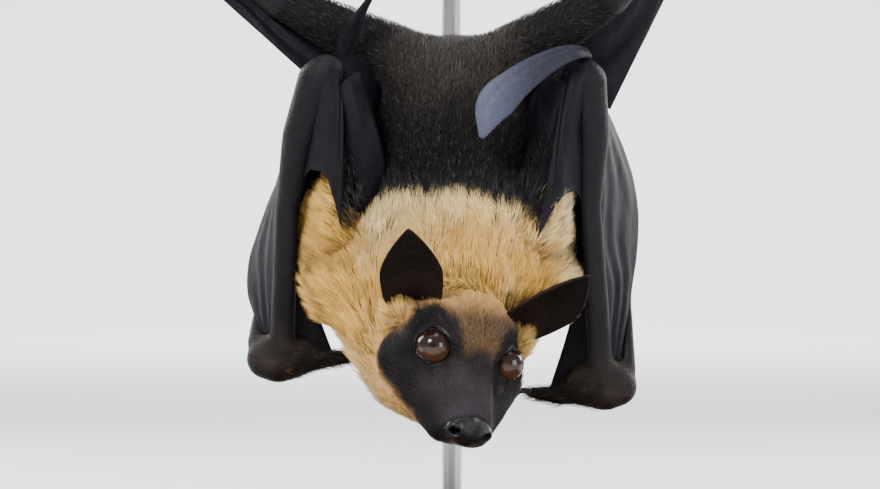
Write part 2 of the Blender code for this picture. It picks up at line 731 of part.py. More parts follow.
def make_rod():
    """One bent rod from the base to the back of the perch."""
    spine = bpy.data.curves.new("stand_rod", "CURVE")
    spine.dimensions = "3D"
    spine.bevel_depth, spine.bevel_resolution = ROD_RADIUS * MM, 3
    spine.use_fill_caps = True
    bend = 22.0
    front = PERCH_BEHIND + PERCH_RADIUS + 2.6
    points = [(0, ROD_BEHIND, BASE_HEIGHT + CONTACT_GAP),
              (0, ROD_BEHIND, PERCH_HEIGHT - bend)]
    for angle in np.radians(np.linspace(15, 90, 6)):
        points.append((0, ROD_BEHIND - bend + bend * math.cos(angle),
                       PERCH_HEIGHT - bend + bend * math.sin(angle)))
    points.append((0, front, PERCH_HEIGHT))
    path = spine.splines.new("POLY")
    path.points.add(len(points) - 1)
    for slot, point in zip(path.points, points):
        slot.co = (*(np.array(point) * MM), 1)
    spine.materials.append(material("rod_steel"))
    rod = bpy.data.objects.new("stand_rod", spine)
    bpy.context.collection.objects.link(rod)


def main():
    clear_scene()
    whole = make_body()
    make_eyes()
    stick = perch()
    for side, joints in SIDES.items():
        make_ear(side, whole)
        make_arm(side, joints, whole)
        finger = make_hand(side, joints)
        make_leg(side, joints, whole)
        make_foot(side, joints, stick)
        make_propatagium(side, joints)
        make_flank_membrane(side, joints)
        solids = [whole, upper_arm(joints), forearm(joints), leg_of(joints)]
        make_plagiopatagium(side, joints, solids)
        palm = blend(5, ellipsoid(joints["wrist"], WRIST_SIZE), hand_bones(joints))
        thumb = limb(joints["thumb"], THUMB_RADII)
        make_leading_membrane(side, joints, [forearm(joints), palm, thumb, whole])
        make_folded_membrane(side, joints, [forearm(joints), palm, finger, upper_arm(joints)])
        make_wing_tip(side, joints)
    add_solid("perch_branch", stick, 2.0, 320, "bark")
    make_base()
    make_rod()


main()
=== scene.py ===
"""Looks of the hanging fruit bat: skin, coat, eyes, claws, stand, light and camera.

Lengths are millimetres until a mesh is made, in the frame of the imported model:
X points to the bat's left, -Y to its back and Z up, with the floor at Z = 0.

The flesh is built from distance fields: functions that give, for an array of
points, how far outside the shape each one lies. The coat is grown on that skin
as tapered solid tufts, and both take their colours from the same function.
"""

import itertools
import math

import bpy
import numpy as np
from mathutils import Euler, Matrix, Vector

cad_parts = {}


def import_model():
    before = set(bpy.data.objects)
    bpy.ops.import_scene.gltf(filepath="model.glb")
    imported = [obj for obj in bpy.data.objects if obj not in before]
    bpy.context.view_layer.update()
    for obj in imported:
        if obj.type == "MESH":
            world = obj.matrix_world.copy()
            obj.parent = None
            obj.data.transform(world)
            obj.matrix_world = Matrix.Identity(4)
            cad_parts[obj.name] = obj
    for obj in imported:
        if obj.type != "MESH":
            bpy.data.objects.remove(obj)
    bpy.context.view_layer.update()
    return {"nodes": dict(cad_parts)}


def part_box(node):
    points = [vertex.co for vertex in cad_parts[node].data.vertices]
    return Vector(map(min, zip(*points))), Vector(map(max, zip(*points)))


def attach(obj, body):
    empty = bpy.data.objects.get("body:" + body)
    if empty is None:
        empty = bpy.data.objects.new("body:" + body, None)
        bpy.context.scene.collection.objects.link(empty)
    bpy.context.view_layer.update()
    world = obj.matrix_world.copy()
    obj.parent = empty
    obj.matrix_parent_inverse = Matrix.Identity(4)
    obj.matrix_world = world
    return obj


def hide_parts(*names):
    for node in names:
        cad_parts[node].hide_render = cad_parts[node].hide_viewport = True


MM = 0.001
SEED = 7

# Head, measured from the point between the eyes: x to the bat's right,
# y to the nose and z to the crown.
HEAD_PLACE = np.array((7.9, -62.0, 101.0))
HEAD_TURN = (-52.0, -13.2, -156.2)
EYE_PLACE = (19.0, -0.5, 0.2)
EYE_RADIUS = 8.6
EYE_AXIS = (0.28, 0.6, 0.74)
LID_SLIT = (0.9, -0.42, -0.13)      # from the inner corner to the outer one
LID_OPEN = (70.0, 46.0)             # half angles along and across the slit
LID_THICK = 0.9
EAR_ROOT = (25.0, -30.5, -3.5)
EAR_TIP = (47.5, -34.0, 37.5)
EAR_WIDTH = 29.0
EAR_WIDEST = 0.52
EAR_BEND = 1.05

# Points and radii of the limbs that make up one side of the face
BROW = ([(7, 6, 3.5), (14, -10, 8)], [3.5, 5])
CHEEK = ([(13, 10, -5), (19, -10, -8)], [4, 7])
JAW = ([(19.5, -7, -20.5), (6.8, 27, -17)], [18, 10.4])
NOSE_RIM = ([(4, 32, -8.5), (7.4, 38.2, -8.0)], [5.5, 4.1])
LIP = ([(2, 38, -13.5), (8, 33, -13), (11.5, 20, -12.5), (13, 8, -12)], [3.0, 3.2, 3.0, 3.0])
NOSTRIL = ([(5.0, 33, -8.4), (7.3, 38, -7.9), (9.0, 42.5, -7.2)], [1.2, 2.1, 2.9])
MOUTH = ([(0, 42.0, -16.2), (6, 40.0, -16.0), (11.5, 31, -15.6), (15, 16, -15.2), (16, 4, -14.6)],
         [0.8] * 5)

# Joints of each side's limbs, the same as in the solids
SIDES = {
    "right": dict(
        shoulder=(-51, -6, 156), elbow=(-60, -34, 234), humerus_top=(-52, -31, 227),
        forearm=[(-65, -33, 231), (-73, -22, 205), (-80, -5, 170), (-83, 20, 104)],
        wrist=(-83, 24, 99), knuckle=(-93, 50, 143), finger_end=(-58, 14, 234),
        thumb=[(-78, 24, 97), (-64, 25, 97), (-50, 27, 98)], claw=(-38, 29, 93),
        tip_line=[(-52, -24, 241), (-48, -26, 251), (-42, -29, 263), (-37, -32, 271)],
        tip_width=[8, 13, 9, 4], tip_faces=[(0.8, -0.6, 0), (0.9, -0.4, 0)],
        hem=(180, 189, 188, 178, 161), hip=(-18, -2, 238), knee=(-82, -6, 270), ankle=(-142, -2, 314),
        free_edge=[(-72, -14, 236), (-145, -2, 302)]),
    "left": dict(
        shoulder=(38, -16, 156), elbow=(61, -21, 234), humerus_top=(54, -19, 227),
        forearm=[(65, -20, 231), (67, -13, 205), (66.5, -5, 172), (72, 9, 92)],
        wrist=(72, 12, 86), knuckle=(85, 44, 170), finger_end=(64, 12, 234),
        thumb=[(68, 12, 83), (52, 13, 80), (40, 15, 81)], claw=(28, 17, 77),
        tip_line=[(65, -24, 245), (57, -35, 244.5), (46, -41, 240), (31, -45, 230),
                  (19, -46, 218), (13.5, -46, 203)],
        tip_width=[6, 8, 11.5, 15, 17, 2.5], tip_faces=[(0.1, -0.9, 0.4), (0, -1, 0.1), (0, -1, 0)],
        hem=(173, 178, 176, 168, 156), hip=(20, -2, 238), knee=(75, -22, 271), ankle=(121, -2, 314),
        free_edge=[(76, -2, 218), (117, -2, 302)]),
}
for places in SIDES.values():
    places.update({name: np.array(value, float) for name, value in places.items()})

LEFT_FIRST = ("left", "right")
ARM_RADIUS = (12.5, 9.5)
ELBOW_RADIUS = 9.5
FOREARM_RADII = (9.0, 8.6, 5.6, 6.5)
WRIST_SIZE = (18.0, 11.0, 13.5)
THIGH_RADII = (18.0, 11.0)
SHANK_RADII = (10.0, 4.5)
THUMB_RADII = (7.0, 4.6, 3.0)
TOE_RADIUS, TOE_SPACING, TOE_COUNT = 2.6, 4.6, 5
THUMB_CLAW = (1.9, 1.8, 1.65, 1.5, 1.3, 1.1, 0.85, 0.55, 0.2)
TOE_CLAW = (1.6, 1.6, 1.5, 1.3, 1.1, 0.85, 0.55, 0.2)
PERCH_HEIGHT, PERCH_BEHIND, PERCH_RADIUS = 346.0, 12.0, 10.0

# Grids: their steps, the distance within which fields are exact, and steps to a block
BODY_STEP, HEAD_STEP = 1.9, 0.62
NEAR = 18.0
BLOCK = 5

# Skin of hand and foot: the grid's step, the size of its creases and the noise's seed
LIMB_SKIN = [(1.0, 2.4, 30), (0.9, 2.0, 31)]
CREASE_DEPTH = 0.16
# How much darker the hide is than the coat on it, as painted shade: the skin seen between tufts
# stands for the coat's shaded depths
HIDE_SHADE, FACE_SHADE = 0.55, 0.7

# Membranes: folds, their depth and seed, from the crook of the arm to the bunched pleats
PLEATS = [(2.5, 0.7, 0), (1.5, 0.8, 2), (2.0, 0.8, 12), (1.0, 0.4, 14), (3.0, 1.3, 4),
          (1.0, 0.3, 6), (3.0, 0.6, 10), (4.5, 1.6, 8)]
WING_THICK, TIP_THICK, EAR_THICK = 0.9, 0.7, 1.0

# Coat: where along a tuft its rings are, its locks, silver hairs, and its patch in OFBake
TUFT_STEPS = (0.0, 0.5)
LOCK_SIZE, LOCK_SHARE = 4.2, 0.6
SILVER_SHARE = 0.06
BAKE_PATCH = 0.003
CROWN_FRONT = -12.0
MANTLE_TOP = 176.0
BODY_TUFTS = dict(mantle_right=18000, mantle_left=18000, chest=14000, back=19500, belly=12000,
                  limbs_right=7000, limbs_left=7000)

# Colours of coat and skin, linear
CREAM = (0.87, 0.67, 0.345)
GOLD = (0.78, 0.46, 0.10)
UMBER = (0.17, 0.085, 0.035)
CROWN = (0.86, 0.50, 0.19)
FOREHEAD = (0.105, 0.058, 0.036)
MASK = (0.0095, 0.0070, 0.0075)
MUZZLE = (0.044, 0.033, 0.041)
BLACK = (0.0085, 0.0070, 0.0080)
GRIZZLE = (0.070, 0.058, 0.050)
BARE = (0.0052, 0.0046, 0.0066)
KNOB = (0.022, 0.015, 0.0125)
EAR_SKIN = (0.0045, 0.0025, 0.0018)
EAR_BASE = (0.011, 0.0056, 0.0044)
WING_DARK = (0.0040, 0.0037, 0.0058)
WING_PALE = (0.0100, 0.0096, 0.0142)
# Painted sheen: pale grey-blue light on the left wing tip's dark membrane
BLADE_SHEEN = (0.068, 0.074, 0.112)
NOSE_SKIN = (0.0036, 0.0031, 0.0046)
LID_SKIN = (0.0085, 0.0060, 0.0060)
EYE_CORNER = (0.085, 0.050, 0.048)
IRIS = (0.058, 0.025, 0.012)
# Painted shade laid over the iris's upper part
IRIS_PAINTED_SHADE = (0.016, 0.007, 0.005)
EYE_EDGE = (0.012, 0.006, 0.005)
PUPIL = (0.002, 0.002, 0.002)

# Skin's slots: roughness, specular level, grain and cells to a metre, bump, its depth, and coat
SKINS = {"hide": (0.8, 0.2, 2400, 1900, 0.25, 0.08, 0.0),
         "bare_skin": (0.48, 0.13, 1500, 620, 0.5, 0.25, 0.0),
         "membrane": (0.5, 0.09, 1300, 420, 0.35, 0.14, 0.0),
         "ear_skin": (0.6, 0.15, 1600, 900, 0.4, 0.15, 0.0),
         "nose": (0.25, 0.2, 2600, 1500, 0.7, 0.14, 0.3),
         "lid": (0.4, 0.5, 2200, 1300, 0.5, 0.15, 0.15)}
HIDE, HANDS, MEMBRANE, EAR, NOSE, LID = range(len(SKINS))


# ---------------------------------------------------------------- numbers

def ramp(value, start, end):
    """0 before start, 1 after end, and smooth between. End may be the smaller."""
    t = np.clip((value - start) / (end - start), 0, 1)
    return t * t * (3 - 2 * t)


def mix(first, second, share):
    """Blend colours, one or a row for each, by a share for each row."""
    first = np.asarray(first)
    return first + (np.asarray(second) - first) * np.asarray(share)[:, None]


def lattice(cell, seed):
    """Fixed random values from 0 to 1 at whole-number places."""
    mask = np.int64(0xFFFFFFFF)
    key = (cell[:, 0] * 73856093) ^ (cell[:, 1] * 19349663) ^ (cell[:, 2] * 83492791)
    key = (key ^ (seed * 2654435761)) & mask
    key = ((key ^ (key >> 15)) * 2246822519) & mask
    key = ((key ^ (key >> 13)) * 3266489917) & mask
    return ((key ^ (key >> 16)) & mask) / 4294967295.0


def noise(p, size, seed):
    """Smooth noise from -1 to 1 with bumps about size across."""
    place = p / size + 1000.0
    cell = np.floor(place).astype(np.int64)
    part = place - cell
    part = part * part * (3 - 2 * part)
    total = np.zeros(len(p))
    for corner in itertools.product((0, 1), repeat=3):
        weight = np.prod(np.where(corner, part, 1 - part), axis=1)
        total += weight * lattice(cell + np.array(corner), seed)
    return 2 * total - 1


def unit(vectors):
    """Vectors of length 1 along the given ones."""
    length = np.linalg.norm(vectors, axis=-1, keepdims=True)
    return vectors / np.maximum(length, 1e-9)


def away_from(place, p):
    """How far each point is from a place."""
    return np.linalg.norm(p - np.asarray(place, float), axis=1)


def smooth_line(points, count, span=(0.0, 1.0)):
    """Points spread along a smooth curve through the given points."""
    points = np.asarray(points, float)
    padded = np.concatenate([[2 * points[0] - points[1]], points,
                             [2 * points[-1] - points[-2]]])
    lengths = np.linalg.norm(np.diff(points, axis=0), axis=1)
    ends = np.concatenate([[0], np.cumsum(lengths)]) / lengths.sum()
    t = np.linspace(*span, count)
    k = np.minimum(np.searchsorted(ends, t, side="right") - 1, len(lengths) - 1)
    u = ((t - ends[k]) / (ends[k + 1] - ends[k]))[:, None]
    a, b, c, d = (padded[k + step] for step in range(4))
    return 0.5 * (2 * b + (c - a) * u + (2 * a - 5 * b + 4 * c - d) * u ** 2
                  + (3 * b - a - 3 * c + d) * u ** 3)


# ---------------------------------------------------------------- fields

class Field:
    """A solid as a distance function, with the box that holds it."""

    def __init__(self, distance, low, high):
        self.distance = distance
        self.low = np.asarray(low, float)
        self.high = np.asarray(high, float)

    def near(self, p):
        """Distances that are exact only near the box."""
        close = np.all((p > self.low - NEAR) & (p < self.high + NEAR), axis=1)
        result = np.full(len(p), NEAR)
        result[close] = self.distance(p[close])
        return result


def limb(points, radii):
    """A chain of tapering round segments through the points."""
    points = np.asarray(points, float)

    def distance(p):
        nearest = np.full(len(p), np.inf)
        for a, b, ra, rb in zip(points, points[1:], radii, radii[1:]):
            axis = b - a
            along = np.clip((p - a) @ axis / (axis @ axis), 0, 1)
            away = np.linalg.norm(p - a - along[:, None] * axis, axis=1)
            nearest = np.minimum(nearest, away - (ra + along * (rb - ra)))
        return nearest

    reach = max(radii)
    return Field(distance, points.min(0) - reach, points.max(0) + reach)


def ball(centre, radius):
    """A round solid."""
    centre = np.asarray(centre, float)
    return Field(lambda p: away_from(centre, p) - radius, centre - radius, centre + radius)


def ellipsoid(centre, size):
    """A rounded mass with its half-widths along X, Y and Z."""
    centre, size = np.asarray(centre, float), np.asarray(size, float)

    def distance(p):
        scaled = np.linalg.norm((p - centre) / size, axis=1)
        slope = np.linalg.norm((p - centre) / size ** 2, axis=1)
        return scaled * (scaled - 1) / np.maximum(slope, 1e-6)

    return Field(distance, centre - size, centre + size)


def merged(distance, others, p, width):
    """The least of some distances, with fillets about as wide as given."""
    for field in others:
        other = field.near(p)
        share = np.clip(0.5 + 0.5 * (distance - other) / width, 0, 1)
        distance = distance + share * (other - distance) - width * share * (1 - share)
    return distance


def blend(width, *fields):
    """The union of fields, with fillets about as wide as given."""
    return Field(lambda p: merged(fields[0].near(p), fields[1:], p, width),
                 np.min([f.low for f in fields], 0), np.max([f.high for f in fields], 0))


def carve(width, field, *tools):
    """A field with others cut out of it, with rounded rims."""
    return Field(lambda p: -merged(-field.distance(p), tools, p, width), field.low, field.high)


def inset(field, depth):
    """A field shrunk by a depth that is a function of the place."""
    return Field(lambda p: field.distance(p) + depth(p), field.low, field.high)


def places_in(counts):
    """Every whole-number place in a box, as rows."""
    return np.stack(np.meshgrid(*map(np.arange, counts), indexing="ij"), -1).reshape(-1, 3)


def samples_of(field, step):
    """A field's values on a grid, worked out only in blocks near its surface."""
    low = field.low - 4 * step
    blocks = np.ceil((field.high - low) / step / BLOCK).astype(int) + 1
    middle = (BLOCK - 1) / 2
    centres = low + step * (places_in(blocks) * BLOCK + middle)
    rough = field.distance(centres)
    value = np.where(rough < 0, -1.0, 1.0)[:, None] * np.full(BLOCK ** 3, step * BLOCK)
    offsets = step * (places_in([BLOCK] * 3) - middle)
    close = np.flatnonzero(np.abs(rough) < step * (BLOCK * 0.9 + 3.0))
    for chunk in np.array_split(close, max(1, len(close) // 3000)):
        points = (centres[chunk][:, None] + offsets).reshape(-1, 3)
        value[chunk] = field.distance(points).reshape(len(chunk), -1)
    value = value.reshape(*blocks, BLOCK, BLOCK, BLOCK).transpose(0, 3, 1, 4, 2, 5)
    return value.reshape(blocks * BLOCK), low


def surface_of(field, step):
    """Vertices and outward quads of a field's surface, a vertex to each cell."""
    value, low = samples_of(field, step)
    for axis in range(3):
        value = (np.roll(value, 1, axis) + 2 * value + np.roll(value, -1, axis)) / 4
    inside = value < 0
    cells = np.array(value.shape) - 1
    total, hits, quads = np.zeros((cells.prod(), 3)), np.zeros(cells.prod()), []
    for axis in range(3):
        one, side, up = np.roll(np.eye(3, dtype=int), -axis, 0)
        edge = np.argwhere(np.diff(inside, axis=axis))
        a, b = value[tuple(edge.T)], value[tuple((edge + one).T)]
        crossing = edge + one * (a / (a - b))[:, None]
        around = []
        for back_side, back_up in ((0, 0), (1, 0), (1, 1), (0, 1)):
            flat = np.ravel_multi_index((edge - back_side * side - back_up * up).T, cells)
            around.append(flat)
            hits += np.bincount(flat, minlength=len(hits))
            for k in range(3):
                total[:, k] += np.bincount(flat, crossing[:, k], len(hits))
        around = np.stack(around, 1)
        leaving = inside[tuple(edge.T)]
        quads += [around[leaving], around[~leaving][:, ::-1]]
    used, quads = np.unique(np.concatenate(quads), return_inverse=True)
    return low + step * total[used] / hits[used, None], quads.reshape(-1, 4)


# ---------------------------------------------------------------- the bat's flesh

HEAD_AXES = np.array(Euler([math.radians(a) for a in HEAD_TURN]).to_matrix())


def to_head(p):
    """Places in the standing frame, as places in the head's."""
    return (p - HEAD_PLACE) @ HEAD_AXES


def from_head(point):
    """A place in the head's frame, as one in the standing frame."""
    return np.asarray(point, float) @ HEAD_AXES.T + HEAD_PLACE


def mirrored_limbs(shapes, sides=SIDES):
    """Limbs in the head's frame, from their points and radii, on one side after the other."""
    return [limb([mirrored(p, side) for p in points], radii)
            for side in sides for points, radii in shapes]


def standing(field):
    """A field from the head's frame, moved into the standing frame."""
    corners = from_head(list(itertools.product(*zip(field.low, field.high))))
    return Field(lambda p: field.distance(to_head(p)), corners.min(0), corners.max(0))


def mirrored(point, side):
    """A place in the head's frame, on the named side."""
    return np.array((point[0] if side == "right" else -point[0], point[1], point[2]), float)


def eye_reach(local):
    """The distance to the nearer eye's middle, in the head's frame."""
    return np.min([away_from(mirrored(EYE_PLACE, side), local) for side in SIDES], 0)


def torso():
    """Trunk, shoulders and throat as one mass, to the tips of the coat."""
    return blend(
        14,
        ellipsoid((1, 0, 229), (33, 28, 25)),
        ellipsoid((1, 3, 194), (43, 36, 54)),
        ellipsoid((0, 2, 150), (56, 42, 44)),
        ellipsoid((-5, -2, 131), (65, 42, 38)),
        ellipsoid((-61, 4, 162), (14, 14, 36)),
        ellipsoid((48, 9, 159), (13, 13, 26)),
        ball((-7, -10, 113), 46),
        ball((-6.5, -28, 89), 31.5))


def torso_coat(p):
    """Depth of the coat over the body, deepest in the mantle."""
    depth = np.interp(p[:, 2], [95, 150, 185, 215, 262], [10, 10, 6, 4, 3])
    return depth * (1 - 0.4 * ramp(np.abs(p[:, 0] + 4), 42, 60))


def head_coat(p):
    """Depth of the coat over the head, in the head's frame."""
    return np.interp(p[:, 1], [-40, -22, -6, 8, 30], [6.5, 5, 2.6, 1.3, 0.7])


def furred_head():
    """Skull, jaws and muzzle under the coat, in the head's frame."""
    temples = [ellipsoid((s * 29, -26, -9), (13, 11, 11)) for s in (-1, 1)]
    shape = blend(
        7,
        ellipsoid((0, -15, 2), (22, 25, 17)),
        ellipsoid((0, -16, -6), (30, 22, 19)),
        limb([(0, 4, -3.5), (0, 31.5, -8.5)], [12.6, 10.4]),
        *mirrored_limbs([JAW], LEFT_FIRST), *temples)
    return inset(shape, head_coat)


def lid_opening(side):
    """The almond-shaped space in front of an eye, between its lids."""
    centre = mirrored(EYE_PLACE, side)
    axis = unit(mirrored(EYE_AXIS, side))
    slit = mirrored(LID_SLIT, side)
    slit = unit(slit - (slit @ axis) * axis)
    across = np.cross(axis, slit)
    wide, tall = np.radians(LID_OPEN)

    def distance(p):
        away = p - centre
        reach = away_from(centre, p)
        along, over = away @ slit, away @ across
        angle = np.arctan2(np.hypot(along, over), away @ axis)
        turn = np.arctan2(over, along)
        limit = wide * tall / np.hypot(tall * np.cos(turn), wide * np.sin(turn))
        return np.maximum(reach * (angle - limit), reach - 17)

    return Field(distance, centre - 18, centre + 18)


def head_flesh():
    """The whole sculpted head, in the head's frame."""
    nose_pad = ball((0, 37.5, -10.5), 5.0)
    nose_groove = limb([(0, 44.2, -4), (0, 44.0, -13)], [2.0, 1.5])
    solid = blend(3.0, furred_head(), *mirrored_limbs([BROW], LEFT_FIRST),
                  *mirrored_limbs([CHEEK], LEFT_FIRST), nose_pad, *mirrored_limbs([NOSE_RIM, LIP]))
    places = [mirrored(EYE_PLACE, side) for side in SIDES]
    solid = blend(1.6, solid, *[ball(place, EYE_RADIUS + LID_THICK) for place in places])
    solid = carve(0.5, solid, *[ball(place, EYE_RADIUS + 0.1) for place in places])
    return carve(0.8, solid, *map(lid_opening, SIDES), nose_groove,
                 *mirrored_limbs([NOSTRIL, MOUTH]))


def outward(joints):
    """The sign of X on the side of these joints."""
    return np.sign(joints["elbow"][0])


def arm_bones(joints):
    """Forearm with its tendons, down to the wrist."""
    tendon = joints["forearm"] + (outward(joints) * -3.5, -4.0, 0)
    return blend(3, limb(joints["forearm"], [r - 0.6 for r in FOREARM_RADII]),
                 limb(tendon, [4.0, 4.2, 2.6, 2.6]),
                 ball(joints["elbow"], ELBOW_RADIUS - 0.6))


def hand_bones(joints):
    """The folded hand: four bones fanned from the wrist to the knuckles."""
    turn = np.array((outward(joints), 1, 1))
    roots = [(13, 2, 7), (12, 8, 6), (8, 11, 5), (2, 12, 4)]
    ends = [(0, -3, -2), (-2, 3, 1), (-6, 7, -1), (-10, 9, -5)]
    bones = []
    for a, b in zip(roots, ends):
        start, end = joints["wrist"] + turn * a, joints["knuckle"] + turn * b
        bones.append(limb([start, 0.6 * start + 0.4 * end, end], [4.0, 2.6, 3.2]))
    return blend(2.2, *bones)


def wrist_knob(joints):
    """The wrist's lumps of bone under tight wrinkled skin."""
    wrist, out = joints["wrist"], outward(joints)
    return blend(
        4,
        ellipsoid(wrist, np.array(WRIST_SIZE) - (1.5, 1.2, 1.2)),
        ball(wrist + (out * 9, 0, -3), 7.5),
        ball(wrist + (out * 2, -3, -6), 6.5),
        ball(wrist + (-out * 8, -1, 1), 7.0))


def hand_flesh(joints):
    """Forearm, wrist, folded hand, long finger and thumb."""
    knuckle, end = joints["knuckle"], joints["finger_end"]
    middle = (knuckle + end) / 2 + (outward(joints) * -3, 4, 0)
    finger = limb(smooth_line([knuckle, middle, end], 5), [3.0, 3.8, 4.0, 3.6, 2.8])
    thumb = limb(joints["thumb"], THUMB_RADII)
    return blend(3.5, arm_bones(joints), wrist_knob(joints), hand_bones(joints), finger, thumb)


def foot_flesh(joints):
    """Shank, sole and the toes that close over the perch."""
    x, _, z = joints["ankle"]
    shank = limb([joints["knee"], joints["ankle"]], [r - 0.6 for r in SHANK_RADII])
    sole = limb([(x, -2, z), (x, -5, z + 14), (x, -6, PERCH_HEIGHT - 8)], [4.4, 4.8, 5.6])
    toes = [limb(toe_line(x, k), np.linspace(TOE_RADIUS, 1.5, 8)) for k in range(TOE_COUNT)]
    return blend(1.6, shank, sole, *toes)


def toe_line(x, k, span=(205, 5), count=8):
    """The middle of one toe, curled over the perch."""
    lean = (k - (TOE_COUNT - 1) / 2) * TOE_SPACING
    curl = PERCH_RADIUS + TOE_RADIUS + 1.0
    return [(x + lean * (0.75 + 0.35 * t), PERCH_BEHIND + curl * math.cos(a),
             PERCH_HEIGHT + curl * math.sin(a))
            for t, a in zip(np.linspace(0, 1, count), np.radians(np.linspace(*span, count)))]


def body_flesh():
    """Trunk, neck, upper arms and thighs, and the head where thick fur hides it."""
    hidden = inset(furred_head(), lambda p: 1.6 * ramp(p[:, 1], -26, -17))
    parts = [inset(torso(), torso_coat), standing(hidden)]
    for joints in SIDES.values():
        for start, end, radii, depth in (("shoulder", "humerus_top", ARM_RADIUS, 2.5),
                                         ("hip", "knee", THIGH_RADII, 3.0)):
            parts.append(limb([joints[start], joints[end]], [r - depth for r in radii]))
    return blend(6, *parts)


def front_of_head():
    """The head's fine shell, which dives under the neck's skin behind the ears."""
    shown = inset(head_flesh(), lambda p: 2.2 * ramp(p[:, 1], -21, -29))
    return standing(shown)


# ---------------------------------------------------------------- markings

def face_mask(local):
    """How dark the face is at places in the head's frame, from 0 to 1."""
    x, y, z = local.T
    wobble = 1.6 * noise(local, 7, 11) + 0.8 * noise(local, 2.5, 12)
    eyes = ramp(eye_reach(local) + wobble, 18.5, 13.5)
    cheek = ramp(z + 0.35 * y + wobble, 1, -6) * ramp(y - 0.5 * z + wobble, -14, -2)
    stripe = ramp(np.abs(x) + wobble, 10, 6) * ramp(y + wobble, 7, -1)
    dark = np.max([cheek, eyes, ramp(y + wobble, 3, 10)], 0)
    dark = dark * (1 - stripe * ramp(z, 2, 7)) * ramp(z + 1.5 * wobble, -31, -21)
    on_face = ramp(furred_head().distance(local) + wobble, 4.5, 1.5)
    return dark * np.maximum(on_face, eyes)


def mantle_colour(p, patch, fine, dorsal):
    """Cream to gold, streaked with brown, with painted shade in umber under the hem of the arm
    membranes and on the belly side toward the shoulders.
    """
    x, _, z = p.T
    near_head = ramp(away_from((0, -12, 0), to_head(p)) + 3 * patch, 70, 40)
    # The golden sides are the coat's own colour, but ramp(x, 60, 0) is painted light: it fades them
    # toward the bat's left, a difference that comes from how light falls
    sides = ramp(np.abs(x + 3) + 3 * fine, 28, 46) * ramp(x, 60, 0) * (0.4 + 0.6 * dorsal)
    golden = np.clip(0.9 * near_head + 1.1 * sides + 0.3 * patch + 0.2 * fine, 0, 1)
    groove = np.clip(fine + 0.4 * patch, 0, 1) * (0.4 + 0.6 * sides)
    # Painted shade: umber below the arm membranes' hem (z 172 to 188) and on the belly side toward
    # the shoulders (z 120 to 160)
    shade = np.maximum(0.8 * ramp(z + 2 * fine, 172, 188),
                       0.5 * (1 - dorsal) * ramp(z, 120, 160))
    return mix(mix(mix(CREAM, GOLD, golden), UMBER, 0.75 * groove), UMBER, shade)


def back_colour(p, patch, fine, dorsal):
    """Black, with a grizzled rump and a browner belly."""
    x, _, z = p.T
    rump = ramp(z, 205, 236) * ramp(np.abs(x - 2) + 4 * patch, 42, 14)
    grizzled = np.clip(rump * (0.75 + 0.25 * fine), 0, 1)
    return mix(mix(BLACK, GRIZZLE, grizzled), UMBER, 0.45 * (1 - dorsal))


def past_mantle(p, patch, fine, dorsal):
    """0 on the mantle and 1 past its border, which falls toward the shoulders."""
    x, _, z = p.T
    out = np.abs(x + 4)
    shoulder = ramp(out - np.where(x > 0, 41, 44), 0, 4)
    fall = np.where(x > 0, 26, 12)
    edge = 167 - np.minimum(out / 46, 1) ** 4 * fall + 30 * shoulder
    edge = edge + (6 + 5 * noise(p, 20, 6)) * (1 - dorsal)
    return ramp(z + 2.5 * patch + 2.0 * fine - edge, -3, 3)


def markings(p):
    """The colour of coat and furred skin at each place, linear."""
    local = to_head(p)
    x, y, z = local.T
    patch, fine = noise(p, 12, 3), noise(p, 3.5, 4)
    place = (p, patch, fine, ramp(p[:, 1], 22, -6))
    colour = mix(mantle_colour(*place), back_colour(*place), past_mantle(*place))
    on_head = ramp(y, -36, -26) * ramp(away_from((0, 0, 0), local), 62, 52)
    colour = mix(colour, CROWN, on_head * ramp(y + 3 * patch, -26, -12) * 0.85)
    middle = ramp(np.abs(x) + 3 * fine, 21, 11) * ramp(z, -8, 2)
    colour = mix(colour, FOREHEAD, on_head * middle * ramp(y + 3 * patch, -22, -6) * 0.9)
    bridge = ramp(y, 4, 20) * ramp(z, -16, -4)
    cloud = 0.35 * noise(local, 8, 31) + 0.15 * noise(local, 3, 32)
    face = mix(MASK, MUZZLE, np.clip(bridge * 1.1 + cloud, 0, 1.2))
    return mix(colour, face, face_mask(local) * on_head)


def face_colour(local, colours):
    """The face's colours with its bare parts: nose, lids and the eyes' inner corners."""
    corner = np.min([away_from(mirrored((9.5, 7, 1), side), local) for side in SIDES], 0)
    colours = mix(colours, NOSE_SKIN, ramp(local[:, 1], 33.5, 36))
    colours = mix(colours, EYE_CORNER, 0.6 * ramp(corner, 5.5, 2))
    return mix(colours, LID_SKIN, ramp(eye_reach(local) - EYE_RADIUS - LID_THICK, 1.6, 0.4))


def bare_colour(p):
    """The colour of bare skin on hands, legs and toes."""
    knob = np.max([ramp(away_from(joints["wrist"], p), 26, 12) for joints in SIDES.values()], 0)
    blotch = 0.5 + 0.5 * noise(p, 5, 21)
    return mix(BARE, KNOB, knob * (0.4 + 0.6 * blotch)) * (0.85 + 0.3 * blotch)[:, None]


# ---------------------------------------------------------------- meshes

def fill(holder, entry, values, kind=np.float32):
    """Set one entry of all that a part of a mesh holds."""
    holder.foreach_set(entry, np.asarray(values, kind).ravel())


